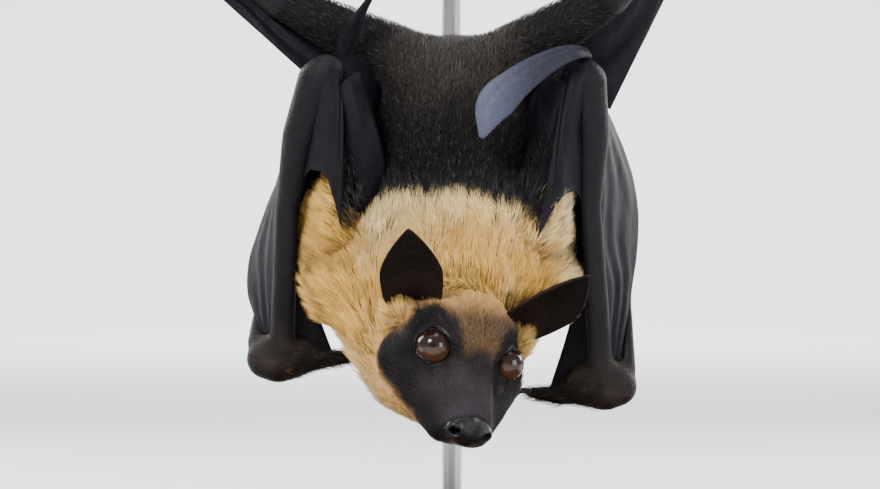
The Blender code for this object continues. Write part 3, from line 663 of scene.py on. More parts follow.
def mesh_object(name, vertices, polygons, materials, colours=None, slots=None, uv=None):
    """An object from vertices and a list of face arrays, all of it riding on the root."""
    mesh = bpy.data.meshes.new(name)
    counts = np.concatenate([np.full(len(f), f.shape[1]) for f in polygons])
    corners = np.concatenate([f.ravel() for f in polygons])
    mesh.vertices.add(len(vertices))
    mesh.loops.add(len(corners))
    mesh.polygons.add(len(counts))
    fill(mesh.vertices, "co", vertices * MM)
    fill(mesh.loops, "vertex_index", corners, np.int32)
    fill(mesh.polygons, "loop_start", np.cumsum(counts) - counts, np.int32)
    fill(mesh.polygons, "use_smooth", np.ones(len(counts)), bool)
    for material in materials:
        mesh.materials.append(material)
    if slots is not None:
        fill(mesh.polygons, "material_index", slots, np.int32)
    mesh.update(calc_edges=True)
    if colours is not None:
        paint = mesh.attributes.new("marking", "FLOAT_COLOR", "POINT")
        fill(paint.data, "color", np.hstack([colours, np.ones((len(colours), 1))]))
    if uv is not None:
        fill(mesh.uv_layers.new(name="OFBake").data, "uv", uv[corners])
    item = bpy.data.objects.new(name, mesh)
    bpy.context.collection.objects.link(item)
    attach(item, "root")
    return item


def tube(points, radii, sides):
    """A closed round tube along points, with a radius at each, or at each of their corners."""
    points, radii = np.asarray(points, float), np.asarray(radii, float)
    along = unit(np.gradient(points, axis=0))
    helper = np.where(np.abs(along[:, 2:]) > 0.8, [[1.0, 0, 0]], [[0, 0, 1.0]])
    first = unit(np.cross(along, helper))
    second = np.cross(along, first)
    turn = np.linspace(0, 2 * math.pi, sides, endpoint=False)[:, None]
    ring = np.cos(turn) * first[:, None] + np.sin(turn) * second[:, None]
    radii = radii if radii.ndim == 2 else radii[:, None]
    vertices = (points[:, None] + ring * radii[:, :, None]).reshape(-1, 3)
    index = np.arange(len(vertices)).reshape(len(points), sides)
    after = np.roll(index, -1, axis=1)
    quads = np.stack([index[1:], after[1:], after[:-1], index[:-1]], -1).reshape(-1, 4)
    start = np.stack([np.full(sides, len(vertices)), index[0], after[0]], -1)
    finish = np.stack([np.full(sides, len(vertices) + 1), after[-1], index[-1]], -1)
    return np.concatenate([vertices, points[[0, -1]]]), [quads, start, finish]


def grid_normal(grid):
    """Unit normals at the points of a sheet's grid."""
    return unit(np.cross(np.gradient(grid, axis=0), np.gradient(grid, axis=1)))


def sheet(grid, thickness):
    """A closed thin shell through a grid of points, thinning to its rim."""
    rows, columns = grid.shape[:2]
    a, b = np.indices((rows, columns))
    from_rim = np.min([a, rows - 1 - a, b, columns - 1 - b], 0)
    half = (thickness / 2 * (0.45 + 0.55 * ramp(from_rim, 0, 2)))[..., None]
    normal = grid_normal(grid)
    vertices = np.concatenate([(grid + normal * half).reshape(-1, 3),
                               (grid - normal * half).reshape(-1, 3)])
    index = np.arange(rows * columns).reshape(rows, columns)
    front = np.stack([index[:-1, :-1], index[1:, :-1], index[1:, 1:], index[:-1, 1:]],
                     -1).reshape(-1, 4)
    back = front[:, ::-1] + rows * columns
    rim = np.concatenate([index[:, 0], index[-1, 1:], index[-2::-1, -1], index[0, -2:0:-1]])
    after = np.roll(rim, -1)
    band = np.stack([after, rim, rim + rows * columns, after + rows * columns], -1)
    return vertices, np.concatenate([front, back, band])


# ---------------------------------------------------------------- skin

class Skin:
    """Closed shells of quads for one mesh, each with a material slot and colours."""

    def __init__(self):
        self.shells = []

    def add(self, vertices, quads, slot, colours):
        """Add a shell, turned outward. The slot is a number or an array for its quads."""
        a, b, c, d = (vertices[quads[:, k]] for k in range(4))
        if np.einsum("ij,ij->i", a, np.cross(b, c) + np.cross(c, d)).sum() < 0:
            quads = quads[:, ::-1]
        self.shells.append((vertices, quads, np.broadcast_to(slot, len(quads)), colours))

    def add_sheet(self, grid, thickness, slot, colour_at):
        """Add a thin shell through a grid, coloured by a function of the place."""
        vertices, quads = sheet(grid, thickness)
        self.add(vertices, quads, slot, colour_at(vertices))

    def build(self, name, materials):
        """The object made of all the shells."""
        vertices, quads, slots, colours = zip(*self.shells)
        starts = np.cumsum([0, *map(len, vertices[:-1])])
        return mesh_object(name, np.concatenate(vertices), [q + k for q, k in zip(quads, starts)],
                           materials, np.concatenate(colours), np.concatenate(slots))


def normals_of(vertices, quads):
    """Outward unit normals at the vertices of a shell of quads."""
    across = np.cross(vertices[quads[:, 2]] - vertices[quads[:, 0]],
                      vertices[quads[:, 3]] - vertices[quads[:, 1]])
    total = np.zeros_like(vertices)
    for k in range(4):
        for axis in range(3):
            total[:, axis] += np.bincount(quads[:, k], across[:, axis], len(vertices))
    return unit(total)


def wrinkled(vertices, quads, size, depth, seed):
    """Push a shell in and out by noise, sharper in the creases."""
    long_grain = vertices * (1, 1, 0.3)
    crease = 1 - 2 * np.abs(noise(long_grain, size, seed))
    lump = noise(long_grain, size * 2.6, seed + 1)
    return vertices + normals_of(vertices, quads) * (depth * (0.6 * lump - 0.4 * crease))[:, None]


def ear_grid(side, rows=25, columns=34):
    """A cupped leaf that opens forward, from inside the head to its tip."""
    root, tip = from_head(mirrored(EAR_ROOT, side)), from_head(mirrored(EAR_TIP, side))
    opening = from_head(mirrored((0.2, 0.95, 0.25), side)) - HEAD_PLACE
    length = np.linalg.norm(tip - root)
    axis = (tip - root) / length
    across = unit(np.cross(opening, axis))
    facing = np.cross(axis, across)
    u, v = np.meshgrid(np.linspace(-1, 1, rows), np.linspace(-0.1, 0.99, columns), indexing="ij")
    below = np.maximum(EAR_WIDEST - v, 0) / EAR_WIDEST
    above = np.maximum(v - EAR_WIDEST, 0) / (1 - EAR_WIDEST)
    profile = 1 - 0.18 * below ** 2 - 0.4 * below ** 8 - above ** 2
    half = np.maximum(EAR_WIDTH / 2 * profile, 0.8)
    ridge = 0.16 * np.sin(v * 42 + 2 * u * u) * (1 - u * u) * ramp(v, 0.1, 0.3)
    bend = u * EAR_BEND
    steps = (length * (v - 0.04 * u * u * (1 - v)), half * np.sin(bend) / math.sin(EAR_BEND),
             1.1 * half * (1 - np.cos(bend)) + ridge)
    return root + sum(step[..., None] * way for step, way in zip(steps, (axis, across, facing)))


def between(first, second, rows):
    """A grid of straight threads from one line to another."""
    return np.array([first + (second - first) * u for u in np.linspace(0, 1, rows)])


def arm_points(joints):
    """The sign of X on this side, with elbow, upper end of the arm and shoulder."""
    return outward(joints), joints["elbow"], joints["humerus_top"], joints["shoulder"]


def crook_sheet(joints):
    """The membrane in the crook of the elbow, down to its wavy hem."""
    out, elbow, top, shoulder = arm_points(joints)
    _, above, beside, _ = joints["forearm"]
    inner = smooth_line([elbow + (-out * 8, -6, 1), 0.6 * top + 0.4 * shoulder - (0, 14, 0),
                         shoulder + (out * 2, -20, 0)], 40)
    outer = smooth_line([elbow + (out * 3, -8, 2), above + (-out * 5, -5, 0),
                         beside + (-out * 4, -3, 0)], 40)
    hem = smooth_line([(u, 0, z) for u, z in zip((0, 0.2, 0.5, 0.75, 1), joints["hem"])], 26)
    crook = []
    for u, _, height in hem:
        line = outer + (inner - outer) * u
        line[:, 1] -= 5.5 * math.sin(math.pi * u) * np.linspace(0.4, 1, 40)
        share = (line[0, 2] - height) / (line[0, 2] - line[-1, 2])
        crook.append(smooth_line(line, 34, (0, min(share, 1))))
    return np.array(crook)


def arm_sheets(joints):
    """The flank's membrane and the sheets that close the gaps behind the arm's bones."""
    out, elbow, top, shoulder = arm_points(joints)
    t = np.linspace(0, 1, 34)
    arm = smooth_line([top, shoulder], 34, (0.0, 0.9))
    arm = arm + (out * 3, 0, 0) - np.linspace((0, 8, 0), (0, 0, 0), 34)
    back = np.stack([out * (44 - 13 * np.sin(math.pi / 2 * t)), elbow[1] + 1 + 26 * t * t,
                     elbow[2] + 1 - 61 * t], 1)
    flank = between(arm, back, 16)
    flank[..., 1] -= 6 * np.sin(math.pi * np.linspace(0, 1, 16))[:, None]
    core = smooth_line([elbow + (0, 0, 7), top, shoulder], 34, (0, 0.9))
    rib = np.linspace((out * 24, 4, 248), (out * 34, 6, 180), 34)
    forearm = smooth_line(joints["forearm"], 34, (0.2, 0.69))
    return [flank, between(core, rib, 16), between(forearm, forearm + (-out * 24, 14, 0), 12)]


def leg_sheet(joints):
    """The membrane behind the leg, to its free edge."""
    hip, knee, ankle = joints["hip"], joints["knee"], joints["ankle"]
    leg = smooth_line([hip + 0.2 * (knee - hip), knee, ankle], 44, (0, 0.8)) + (0, 5, 0)
    return between(leg, np.linspace(*joints["free_edge"], 44) + (0, 4, 0), 20)


def hand_sheets(joints):
    """The strip beside the thumb, the smooth cover of the folded wing and its bunched pleats."""
    out, thumb, forearm = outward(joints), joints["thumb"], joints["forearm"]
    bone = smooth_line([*forearm, thumb[0]], 40, (0.5, 1.0)) + (0, 2, 0)
    web = thumb[1] * 0.55 + thumb[2] * 0.45
    bow = (bone[0] * 0.35 + web * 0.65) + (out * 3.5, 0, 10)
    hem = smooth_line([bone[0] - (out * 4, 0, 0), bow, web + (0, 0, 1)], 40)
    near = smooth_line(forearm[::-1], 50, (0.02, 0.96))
    far = smooth_line([joints["wrist"], joints["knuckle"], joints["finger_end"]], 50, (0.06, 0.97))
    lift = np.linspace((out * 8, -6, 4), (out * 4.5, -6, 0), 50)
    return [between(bone, hem, 14), between(near + (out * 4, -2, 0), far + lift, 30),
            between(near, far, 34)]


def folded(grid, folds, depth, seed):
    """A sheet's grid with soft pleats across it, deepest in its middle."""
    rows, columns = grid.shape[:2]
    u, v = np.meshgrid(np.linspace(0, 1, rows), np.linspace(0, 1, columns), indexing="ij")
    flat = grid.reshape(-1, 3)
    drift = noise(flat, 26, seed).reshape(rows, columns)
    small = noise(flat * (1, 1, 0.35), 3.2, seed + 1).reshape(rows, columns)
    wave = np.sin(2 * math.pi * (folds * u + 0.5 * drift)) * np.sin(math.pi * u) ** 0.5
    lift = depth * wave * np.sin(math.pi * np.clip(v, 0.03, 0.97)) ** 0.4 + 0.22 * small
    return grid + grid_normal(grid) * lift[..., None]


def membranes(side, joints):
    """Pleated grids of the folded wing's membranes."""
    grids = [crook_sheet(joints), *arm_sheets(joints), leg_sheet(joints), *hand_sheets(joints)]
    seed = 40 if side == "left" else 60
    return [folded(grid, folds, depth, seed + k) for grid, (folds, depth, k) in zip(grids, PLEATS)]


def wing_tip_grid(joints, offset):
    """The folded end of the wing, a narrow leaf that comes past the elbow."""
    count = 40
    line = smooth_line(joints["tip_line"], count)
    width = smooth_line([(w, 0, 40 * k) for k, w in enumerate(joints["tip_width"])], count)[:, 0]
    face = smooth_line([f + (0.001 * k, 0, 0) for k, f in enumerate(joints["tip_faces"])], count)
    across = unit(np.cross(np.gradient(line, axis=0), face))
    rows = []
    for u in np.linspace(-1, 1, 15):
        crease = 0.5 * math.exp(-((u - 0.35) / 0.12) ** 2)
        rows.append(line + across * (u * width / 2)[:, None]
                    - face * (1.2 * u * u + crease + offset))
    return np.array(rows)


def membrane_colour(p, seed):
    """Dark slate, mottled, with paler streaks along the folds."""
    streak = noise(p * (1, 1, 0.2), 2.6, seed)
    cloud = noise(p, 16, seed + 1)
    return mix(WING_DARK, WING_PALE, np.clip(0.35 + 0.3 * streak + 0.3 * cloud, 0, 1))


def blade_colour(p):
    """The wing tip's membrane, with a painted pale grey-blue sheen where the left one crosses the
    back.
    """
    x = p[:, 0]
    # Painted sheen: how far the dark membrane turns pale grey-blue, growing toward the tip
    pale = 0.2 * ramp(x, 66, 56) + 0.8 * ramp(x, 58, 10) ** 2.2
    return mix(membrane_colour(p, 80), BLADE_SHEEN, pale * (x > 0))


def ear_colour(p):
    """Black skin, a little browner near either ear's root."""
    roots = [from_head(mirrored(EAR_ROOT, side)) for side in SIDES]
    low = np.max([ramp(away_from(root, p), 27, 13) for root in roots], 0)
    return mix(EAR_SKIN, EAR_BASE, low)


def add_head(skin):
    """Add the head's fine shell, with slots for nose and lids, and return it."""
    head, quads = surface_of(front_of_head(), HEAD_STEP)
    local = to_head(head)
    middle = local[quads].mean(1)
    slots = np.full(len(quads), HIDE)
    slots[middle[:, 1] > 36.0] = NOSE
    slots[eye_reach(middle) < EYE_RADIUS + LID_THICK + 0.35] = LID
    # The head's skin takes the coat's colour, darkened by painted shade
    skin.add(head, quads, slots, face_colour(local, markings(head) * FACE_SHADE))
    return head, quads


def add_side(skin, side, joints):
    """Add the bare parts of one side, and return the hand's shell."""
    shells = []
    for field, (step, crease, seed) in zip((hand_flesh(joints), foot_flesh(joints)), LIMB_SKIN):
        vertices, quads = surface_of(field, step)
        vertices = wrinkled(vertices, quads, crease, CREASE_DEPTH, seed)
        skin.add(vertices, quads, HANDS, bare_colour(vertices))
        shells.append((vertices, quads))
    for k, grid in enumerate(membranes(side, joints)):
        skin.add_sheet(grid, WING_THICK, MEMBRANE, lambda p, k=k: membrane_colour(p, 70 + k))
    for offset in (0.0, 0.9):
        skin.add_sheet(wing_tip_grid(joints, offset), TIP_THICK, MEMBRANE, blade_colour)
    skin.add_sheet(ear_grid(side), EAR_THICK, EAR, ear_colour)
    return shells[0]


def make_skin(materials):
    """One skin for the whole bat. Returns the shells that carry the coat."""
    skin = Skin()
    body, quads = surface_of(body_flesh(), BODY_STEP)
    # The body's skin takes the coat's colour, darkened by painted shade
    skin.add(body, quads, HIDE, markings(body) * HIDE_SHADE)
    head = add_head(skin)
    hands = {side: add_side(skin, side, joints) for side, joints in SIDES.items()}
    item = skin.build("skin", materials)
    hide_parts(*[name + end for end in ("_left", "_right") for name in
                        ("ear", "upper_arm", "forearm", "hand", "thumb", "finger", "wing_tip",
                         "propatagium", "flank_membrane", "plagiopatagium",
                         "leading_membrane", "wing_fold", "thigh", "shank", "foot")],
                "trunk", "neck", "head")
    return (body, quads), head, hands


# ---------------------------------------------------------------- coat

def scatter(shell, weight, count, rng):
    """Evenly spread roots on a shell where the weight is above 0, with their normals."""
    vertices, quads = shell
    normals = normals_of(vertices, quads)
    triangles = np.concatenate([quads[:, [0, 1, 2]], quads[:, [0, 2, 3]]])
    a, b, c = (vertices[triangles[:, k]] for k in range(3))
    area = np.linalg.norm(np.cross(b - a, c - a), axis=1) * weight((a + b + c) / 3)
    ends = np.cumsum(area)
    picks = (np.arange(count) + rng.random(count)) / count * ends[-1]
    chosen = triangles[np.minimum(np.searchsorted(ends, picks), len(triangles) - 1)]
    share = rng.random((count, 2))
    flip = share.sum(1) > 1
    share[flip] = 1 - share[flip]
    corner = np.stack([1 - share.sum(1), share[:, 0], share[:, 1]], 1)[..., None]
    return (vertices[chosen] * corner).sum(1), unit((normals[chosen] * corner).sum(1))


def along_skin(flow, normal):
    """Directions of growth, laid down on the skin."""
    return unit(flow - normal * (flow * normal).sum(1, keepdims=True))


def lie_of(p, normal, rng):
    """The way the coat lies at each root: from the nose over the body to the rump."""
    x, _, z = p.T
    local = to_head(p)
    on_head = ramp(local[:, 1], -36, -14)[:, None]
    over_head = 0.3 * np.sign(local[:, :1]) * HEAD_AXES[:, 0] - HEAD_AXES[:, 1]
    fan = ramp(np.abs(x + 4), 25, 62) * ramp(z, 200, 165)
    up = np.stack([np.sign(x + 4) * fan, 0 * fan, 1 - 0.4 * fan], 1)
    flow = up * (1 - on_head) + over_head * on_head
    along_leg = unit(np.stack([np.sign(x), 0 * x, 0.7 + 0 * x], 1))
    flow = np.where(((np.abs(x) > 30) & (z > 228))[:, None], along_leg, flow)
    wander = np.stack([noise(p, 9, 90 + k) for k in range(3)], 1)
    return along_skin(flow + 0.35 * wander + 0.16 * rng.normal(size=p.shape), normal)


def coat_size(p):
    """Length, lift and width of the tuft at each root."""
    local = to_head(p)
    head_long = np.interp(local[:, 1], [-36, -24, -10, 2, 14, 32],
                          [14, 12, 7.5, 3.6, 2.2, 1.5])
    on_head = ramp(local[:, 1], -38, -26) * ramp(away_from((0, 0, 0), local), 62, 50)
    body_long = np.interp(p[:, 2], [90, 165, 185, 215, 262], [17, 17, 6.5, 4.5, 4.5])
    length = body_long * (1 - on_head) + head_long * on_head
    depth = torso_coat(p) * (1 - on_head) + head_coat(local) * on_head
    return length, depth, 0.22 + 0.021 * length


def clumped(roots, tips, size, share, seed):
    """Tips drawn toward the middle tip of their lock."""
    jitter = np.stack([noise(roots, size * 1.7, seed + k) for k in range(3)], 1) * size * 0.5
    cell = np.floor((roots + jitter) / size).astype(np.int64)
    _, lock = np.unique(cell, axis=0, return_inverse=True)
    lock = lock.ravel()
    count = np.bincount(lock)
    middle = np.stack([np.bincount(lock, tips[:, k]) / count for k in range(3)], 1)
    return mix(tips, middle[lock], share)


def tuft_vertices(roots, normals, growth, rng):
    """Rings of three points and a tip for each tuft, from its root outward."""
    lie_at, size_at, _ = growth
    count = len(roots)
    length, depth, width = size_at(roots)
    length = length * rng.uniform(0.75, 1.2, count)
    depth = depth * rng.uniform(0.6, 1.05, count) * (0.85 + 0.3 * noise(roots, 8, 21))
    width = width * rng.uniform(0.8, 1.25, count)
    lie = lie_at(roots, normals, rng)
    side = np.cross(lie, normals)
    reach = np.sqrt(np.maximum(length ** 2 - depth ** 2, (0.5 * length) ** 2))
    droop = np.outer(0.10 * np.maximum(length - 6, 0), (0, 0, -1.0))
    tips = roots + lie * reach[:, None] + normals * depth[:, None] + droop
    tips = clumped(roots, tips, LOCK_SIZE, LOCK_SHARE * ramp(length, 4, 12), 17)
    sway = rng.normal(size=count)[:, None] * side * (0.07 * length)[:, None]
    rings = []
    for t in TUFT_STEPS:
        rise = 1 - (1 - t) ** 1.7
        centre = (roots - 0.5 * normals * (t == 0) + (tips - roots) * t
                  + normals * (depth * (rise - t))[:, None] + sway * math.sin(math.pi * t))
        size = (width * (1 - t) ** 0.6)[:, None]
        rings += [centre - side * size / 2, centre + side * size / 2,
                  centre + normals * size * 0.45]
    return np.stack(rings + [tips], 1)


def tuft_faces(count, each):
    """Triangles of closed tufts that have so many vertices each."""
    faces = [[0, 2, 1]]
    pairs = ((0, 1), (1, 2), (2, 0))
    for low in range(0, each - 4, 3):
        for a, b in pairs:
            faces += [[low + a, low + b, low + 3 + b], [low + a, low + 3 + b, low + 3 + a]]
    faces += [[each - 4 + a, each - 4 + b, each - 1] for a, b in pairs]
    return (np.array(faces)[None] + each * np.arange(count)[:, None, None]).reshape(-1, 3)


def tuft_paint(roots, colour_at, along, rng):
    """Colours of tufts, with painted shade that darkens them toward the root and a painted highlight
    that lightens the tips, and some silver hairs in the dark coat.
    """
    uneven = rng.uniform(0.78, 1.18, len(roots)) * (1 + 0.16 * noise(roots, 2.4, 22))
    tone = colour_at(roots) * uneven[:, None]
    grey = (rng.random(len(roots)) < SILVER_SHARE) & (tone.mean(1) < 0.06)
    silver = grey[:, None] * np.where(roots[:, 2:] > 165, 0.10, 0.04)
    # Painted shade and highlight: each tuft runs from 0.43 of its tone at the root to 1.11 at the tip
    return np.stack([tone * (0.43 + 0.68 * t) + silver * t for t in along], 1)


def tufts(name, roots, normals, unwrap, growth, rng, material):
    """A coat piece: a closed, tapered, three-sided tuft at each root."""
    vertices = tuft_vertices(roots, normals, growth, rng)
    count, each = vertices.shape[:2]
    along = np.append(np.repeat(TUFT_STEPS, 3), 1.0)
    paint = tuft_paint(roots, growth[2], along, rng)
    over = np.append(np.tile((0, 1 / 3, 2 / 3), len(TUFT_STEPS)), 0.5)
    patch = BAKE_PATCH * np.stack([over, along], 1)
    uv = unwrap(roots)[:, None] + patch[None]
    return mesh_object(name, vertices.reshape(-1, 3), [tuft_faces(count, each)], [material],
                       paint.reshape(-1, 3), uv=uv.reshape(-1, 2))


def around(origin, axes):
    """An unwrap of roots round the third of some axes, like the label of a tin."""
    def unwrap(roots):
        local = (roots - np.asarray(origin, float)) @ np.asarray(axes, float)
        turn = np.arctan2(local[:, 0], local[:, 1]) / (2 * math.pi) + 0.5
        along = local[:, 2]
        rise = (along - along.min()) / max(np.ptp(along), 1e-6)
        return 0.002 + 0.99 * np.stack([turn, rise], 1)
    return unwrap


def thumb_hair(side):
    """The hair of one thumb: where it grows, and its lie, size and colour."""
    joints = SIDES[side]
    line = limb(joints["thumb"], [1.0, 1.0, 1.0])
    onward = unit(joints["claw"] - joints["wrist"] + (0, 0, 6))

    def lie(p, normal, rng):
        return along_skin(onward + 0.4 * rng.normal(size=p.shape), normal)

    def size(p):
        length = 3.5 + 4.5 * ramp(line.distance(p), 12, 4)
        return length, 0.25 * length, np.full(len(p), 0.22)

    def colour(p):
        return mix(MASK, GOLD, 0.5 * np.clip(noise(p, 3.0, 25) - 0.2, 0, 1))

    return lambda p: ramp(line.distance(p), 14, 4), (lie, size, colour)


def on_face(sign):
    """Where hair grows on one half of the face, clear of the eyes and the nose."""
    def weight(p):
        local = to_head(p)
        x, y, _ = local.T
        keep = (y > CROWN_FRONT) & (y < 35.5) & (x * sign >= 0)
        keep &= eye_reach(local) > EYE_RADIUS + LID_THICK + 0.5
        return keep * (1.0 + 0.8 * ramp(y, 0, 12))
    return weight


def on_crown(p):
    """Where hair grows on the head's fine shell behind the face."""
    y = to_head(p)[:, 1]
    return ((y <= CROWN_FRONT) & (y > -28)).astype(float)


def body_regions(p):
    """Which places lie in each body piece of the coat, by its name."""
    x, y, z = p.T
    low = z < MANTLE_TOP
    trunk = ~low & (np.abs(x) < 62 - 0.25 * np.clip(z - 150, 0, 200)) & (z < 262)
    limbs = ~low & ~trunk
    return dict(mantle_right=low & (y < 0) & (x + 6 <= 0), mantle_left=low & (y < 0) & (x + 6 >= 0),
                chest=low & (y >= 0), back=trunk & (y <= 0), belly=trunk & (y >= 0),
                limbs_right=limbs & (x <= 0), limbs_left=limbs & (x >= 0))


def on_body(name):
    """Where hair grows in a body piece of the coat, outside the head."""
    head_field = standing(furred_head())
    return lambda p: (body_regions(p)[name] & (head_field.distance(p) > 0.3)).astype(float)


def make_coat(body, head, hands, material):
    """Every coat piece, from its shell, region, count of tufts, unwrap and growth."""
    rng = np.random.default_rng(SEED)
    upright = around((0, 0, 0), np.eye(3))
    on_muzzle = around(HEAD_PLACE, HEAD_AXES[:, [0, 2, 1]])
    fur = (lie_of, coat_size, markings)
    regions = [("coat_face_right", head, on_face(1), 15500, on_muzzle, fur),
               ("coat_face_left", head, on_face(-1), 15500, on_muzzle, fur),
               ("coat_crown", head, on_crown, 13000, on_muzzle, fur)]
    regions += [("coat_" + name, body, on_body(name), count, upright, fur)
                for name, count in BODY_TUFTS.items()]
    for side, shell in hands.items():
        weight, growth = thumb_hair(side)
        regions.append(("coat_thumb_" + side, shell, weight, 900, upright, growth))
    for name, shell, weight, count, unwrap, growth in regions:
        roots, normals = scatter(shell, weight, count, rng)
        item = tufts(name, roots, normals, unwrap, growth, rng, material)


# ---------------------------------------------------------------- materials

def new_material(name, roughness, specular=0.5, **inputs):
    """A Principled material and its shader, with more inputs set by name."""
    made = bpy.data.materials.new(name)
    made.use_nodes = True
    shader = made.node_tree.nodes["Principled BSDF"]
    settings = dict(inputs, Roughness=roughness, Specular_IOR_Level=specular)
    for key, value in settings.items():
        shader.inputs[key.replace("_", " ")].default_value = value
    return made, shader


def node(tree, kind, **settings):
    """A node with its properties and, by name, its unlinked inputs set."""
    made = tree.nodes.new(kind)
    for key, value in settings.items():
        if hasattr(made, key):
            setattr(made, key, value)
        else:
            made.inputs[key.replace("_", " ")].default_value = value
    return made


def join(source, output, target, entry):
    """Link one node's output to another's input."""
    target.id_data.links.new(source.outputs[output], target.inputs[entry])


def object_noise(tree, scale, detail, stretch=(1, 1, 1)):
    """Noise in object space, in metres, with features about 1 / scale across."""
    place = node(tree, "ShaderNodeTexCoord")
    shape = node(tree, "ShaderNodeMapping", Scale=stretch)
    made = node(tree, "ShaderNodeTexNoise", Scale=scale, Detail=detail)
    join(place, "Object", shape, "Vector")
    join(shape, "Vector", made, "Vector")
    return made


def bumped(shader, source, output, strength, distance):
    """Bump a shader by a node's output. The distance is in millimetres."""
    bump = node(shader.id_data, "ShaderNodeBump", Strength=strength, Distance=distance * MM)
    join(source, output, bump, "Height")
    join(bump, "Normal", shader, "Normal")


def paint_marking(shader, scale, detail, spread):
    """Colour a shader by the mesh's marking, made uneven by noise."""
    tree = shader.id_data
    marking = node(tree, "ShaderNodeAttribute", attribute_name="marking")
    uneven = object_noise(tree, scale, detail)
    span = node(tree, "ShaderNodeMapRange", To_Min=1 - spread, To_Max=1 + spread)
    tint = node(tree, "ShaderNodeVectorMath", operation="SCALE")
    join(uneven, "Fac", span, "Value")
    join(marking, "Color", tint, 0)
    join(span, "Result", tint, "Scale")
    join(tint, "Vector", shader, "Base Color")


def marked_material(name, roughness, specular, grain, cells, strength, depth, coat):
    """Skin coloured by its marking, mottled, and creased by cells and fine grain."""
    made, shader = new_material(name, roughness, specular, Coat_Weight=coat, Coat_Roughness=0.25)
    tree = shader.id_data
    paint_marking(shader, grain * 0.35, 3.0, 0.35)
    place = node(tree, "ShaderNodeTexCoord")
    creases = node(tree, "ShaderNodeTexVoronoi", feature="DISTANCE_TO_EDGE", Scale=cells)
    sharp = node(tree, "ShaderNodeMapRange", From_Max=0.18)
    total = node(tree, "ShaderNodeMath", operation="MULTIPLY_ADD")
    total.inputs[1].default_value = 0.6
    join(place, "Object", creases, "Vector")
    join(creases, "Distance", sharp, "Value")
    join(object_noise(tree, grain, 4.0), "Fac", total, 0)
    join(sharp, "Result", total, 2)
    bumped(shader, total, "Value", strength, depth)
    return made


def coat_material():
    """Hair coloured by its marking, a little uneven, with a soft sheen."""
    made, shader = new_material("coat", 0.6, 0.2, Sheen_Weight=0.03, Sheen_Roughness=0.4)
    paint_marking(shader, 260.0, 2.0, 0.2)
    return made


def skin_materials():
    """The skin's slots, in the order of their numbers."""
    return [marked_material(name, *looks) for name, looks in SKINS.items()]


def eye_material():
    """Chestnut iris with radial fibres and a small pupil, under a wet clear coat."""
    made, shader = new_material("eye", 0.2, 0.2, Coat_Weight=0.32, Coat_Roughness=0.02,
                                Coat_IOR=1.5)
    paint_marking(shader, 900.0, 3.0, 0.25)
    return made


def ramp_material(name, stops, scale, roughness, stretch, strength, depth, metallic=0.0,
                  specular=0.5):
    """Noise through a colour ramp, with bump from the same noise."""
    made, shader = new_material(name, roughness, specular, Metallic=metallic)
    tree = shader.id_data
    grain = object_noise(tree, scale, 6.0, stretch)
    colours = node(tree, "ShaderNodeValToRGB")
    for k, (place, colour) in enumerate(stops):
        stop = (colours.color_ramp.elements[k] if k < 2
                else colours.color_ramp.elements.new(place))
        stop.position, stop.color = place, (*colour, 1)
    join(grain, "Fac", colours, "Fac")
    join(colours, "Color", shader, "Base Color")
    bumped(shader, grain, "Fac", strength, depth)
    return made


# ---------------------------------------------------------------- eyes and claws

GAZE = {"right": (-0.05, -0.99, 0.12), "left": (0.33, -0.93, 0.13)}


def eye_shape(gaze):
    """An eyeball with a raised cornea: its vertices, faces, and each vertex's angle and turn."""
    right = unit(np.cross(gaze, (0, 0, 1.0)))
    axes = np.stack([right, np.cross(right, gaze), gaze])
    rings, spokes = 40, 56
    angles, turns = np.meshgrid(np.linspace(0.03, math.pi - 0.03, rings),
                                np.linspace(0, 2 * math.pi, spokes, endpoint=False), indexing="ij")
    radius = EYE_RADIUS - 0.25 + 0.45 * np.exp(-(angles / 0.75) ** 4)
    flat = np.stack([np.sin(angles) * np.cos(turns), np.sin(angles) * np.sin(turns),
                     np.cos(angles)], -1) * radius[..., None]
    index = np.arange(angles.size).reshape(angles.shape)
    after = np.roll(index, -1, axis=1)
    quads = np.stack([index[:-1], index[1:], after[1:], after[:-1]], -1).reshape(-1, 4)
    front, back = (np.stack([index[k], after[k], np.full(spokes, angles.size + (k != 0))], -1)
                   for k in (0, -1))
    vertices = np.concatenate([flat.reshape(-1, 3) @ axes,
                               [gaze * radius[0, 0], -gaze * radius[-1, 0]]])
    return (vertices, [quads, front, back[:, ::-1]], np.append(angles, (0, math.pi)),
            np.append(turns, (0, 0)))


def iris_colour(vertices, angle, turn):
    """Chestnut, with painted shade darkening its upper part, round a pupil, and dark outside the
    iris.
    """
    fibres = 0.85 + 0.15 * np.sin(turn * 34 + 2.0 * np.sin(turn * 5))
    # Painted shade: the iris darkens from its lower part toward its top
    iris = mix(IRIS, IRIS_PAINTED_SHADE, ramp(vertices[:, 2] / EYE_RADIUS, -0.45, 0.35))
    colour = mix(iris * fibres[:, None], EYE_EDGE, ramp(angle, 1.0, 1.3))
    return mix(colour, PUPIL, ramp(angle, 0.2, 0.13))


def make_eyes(material):
    """An eyeball on each side, its iris painted by angle."""
    for side in SIDES:
        vertices, faces, angle, turn = eye_shape(unit(np.array(GAZE[side])))
        colour = iris_colour(vertices, angle, turn)
        vertices = vertices + from_head(mirrored(EYE_PLACE, side))
        item = mesh_object("eyeball_" + side, vertices, faces, [material], colour)
        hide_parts("eye_" + side)


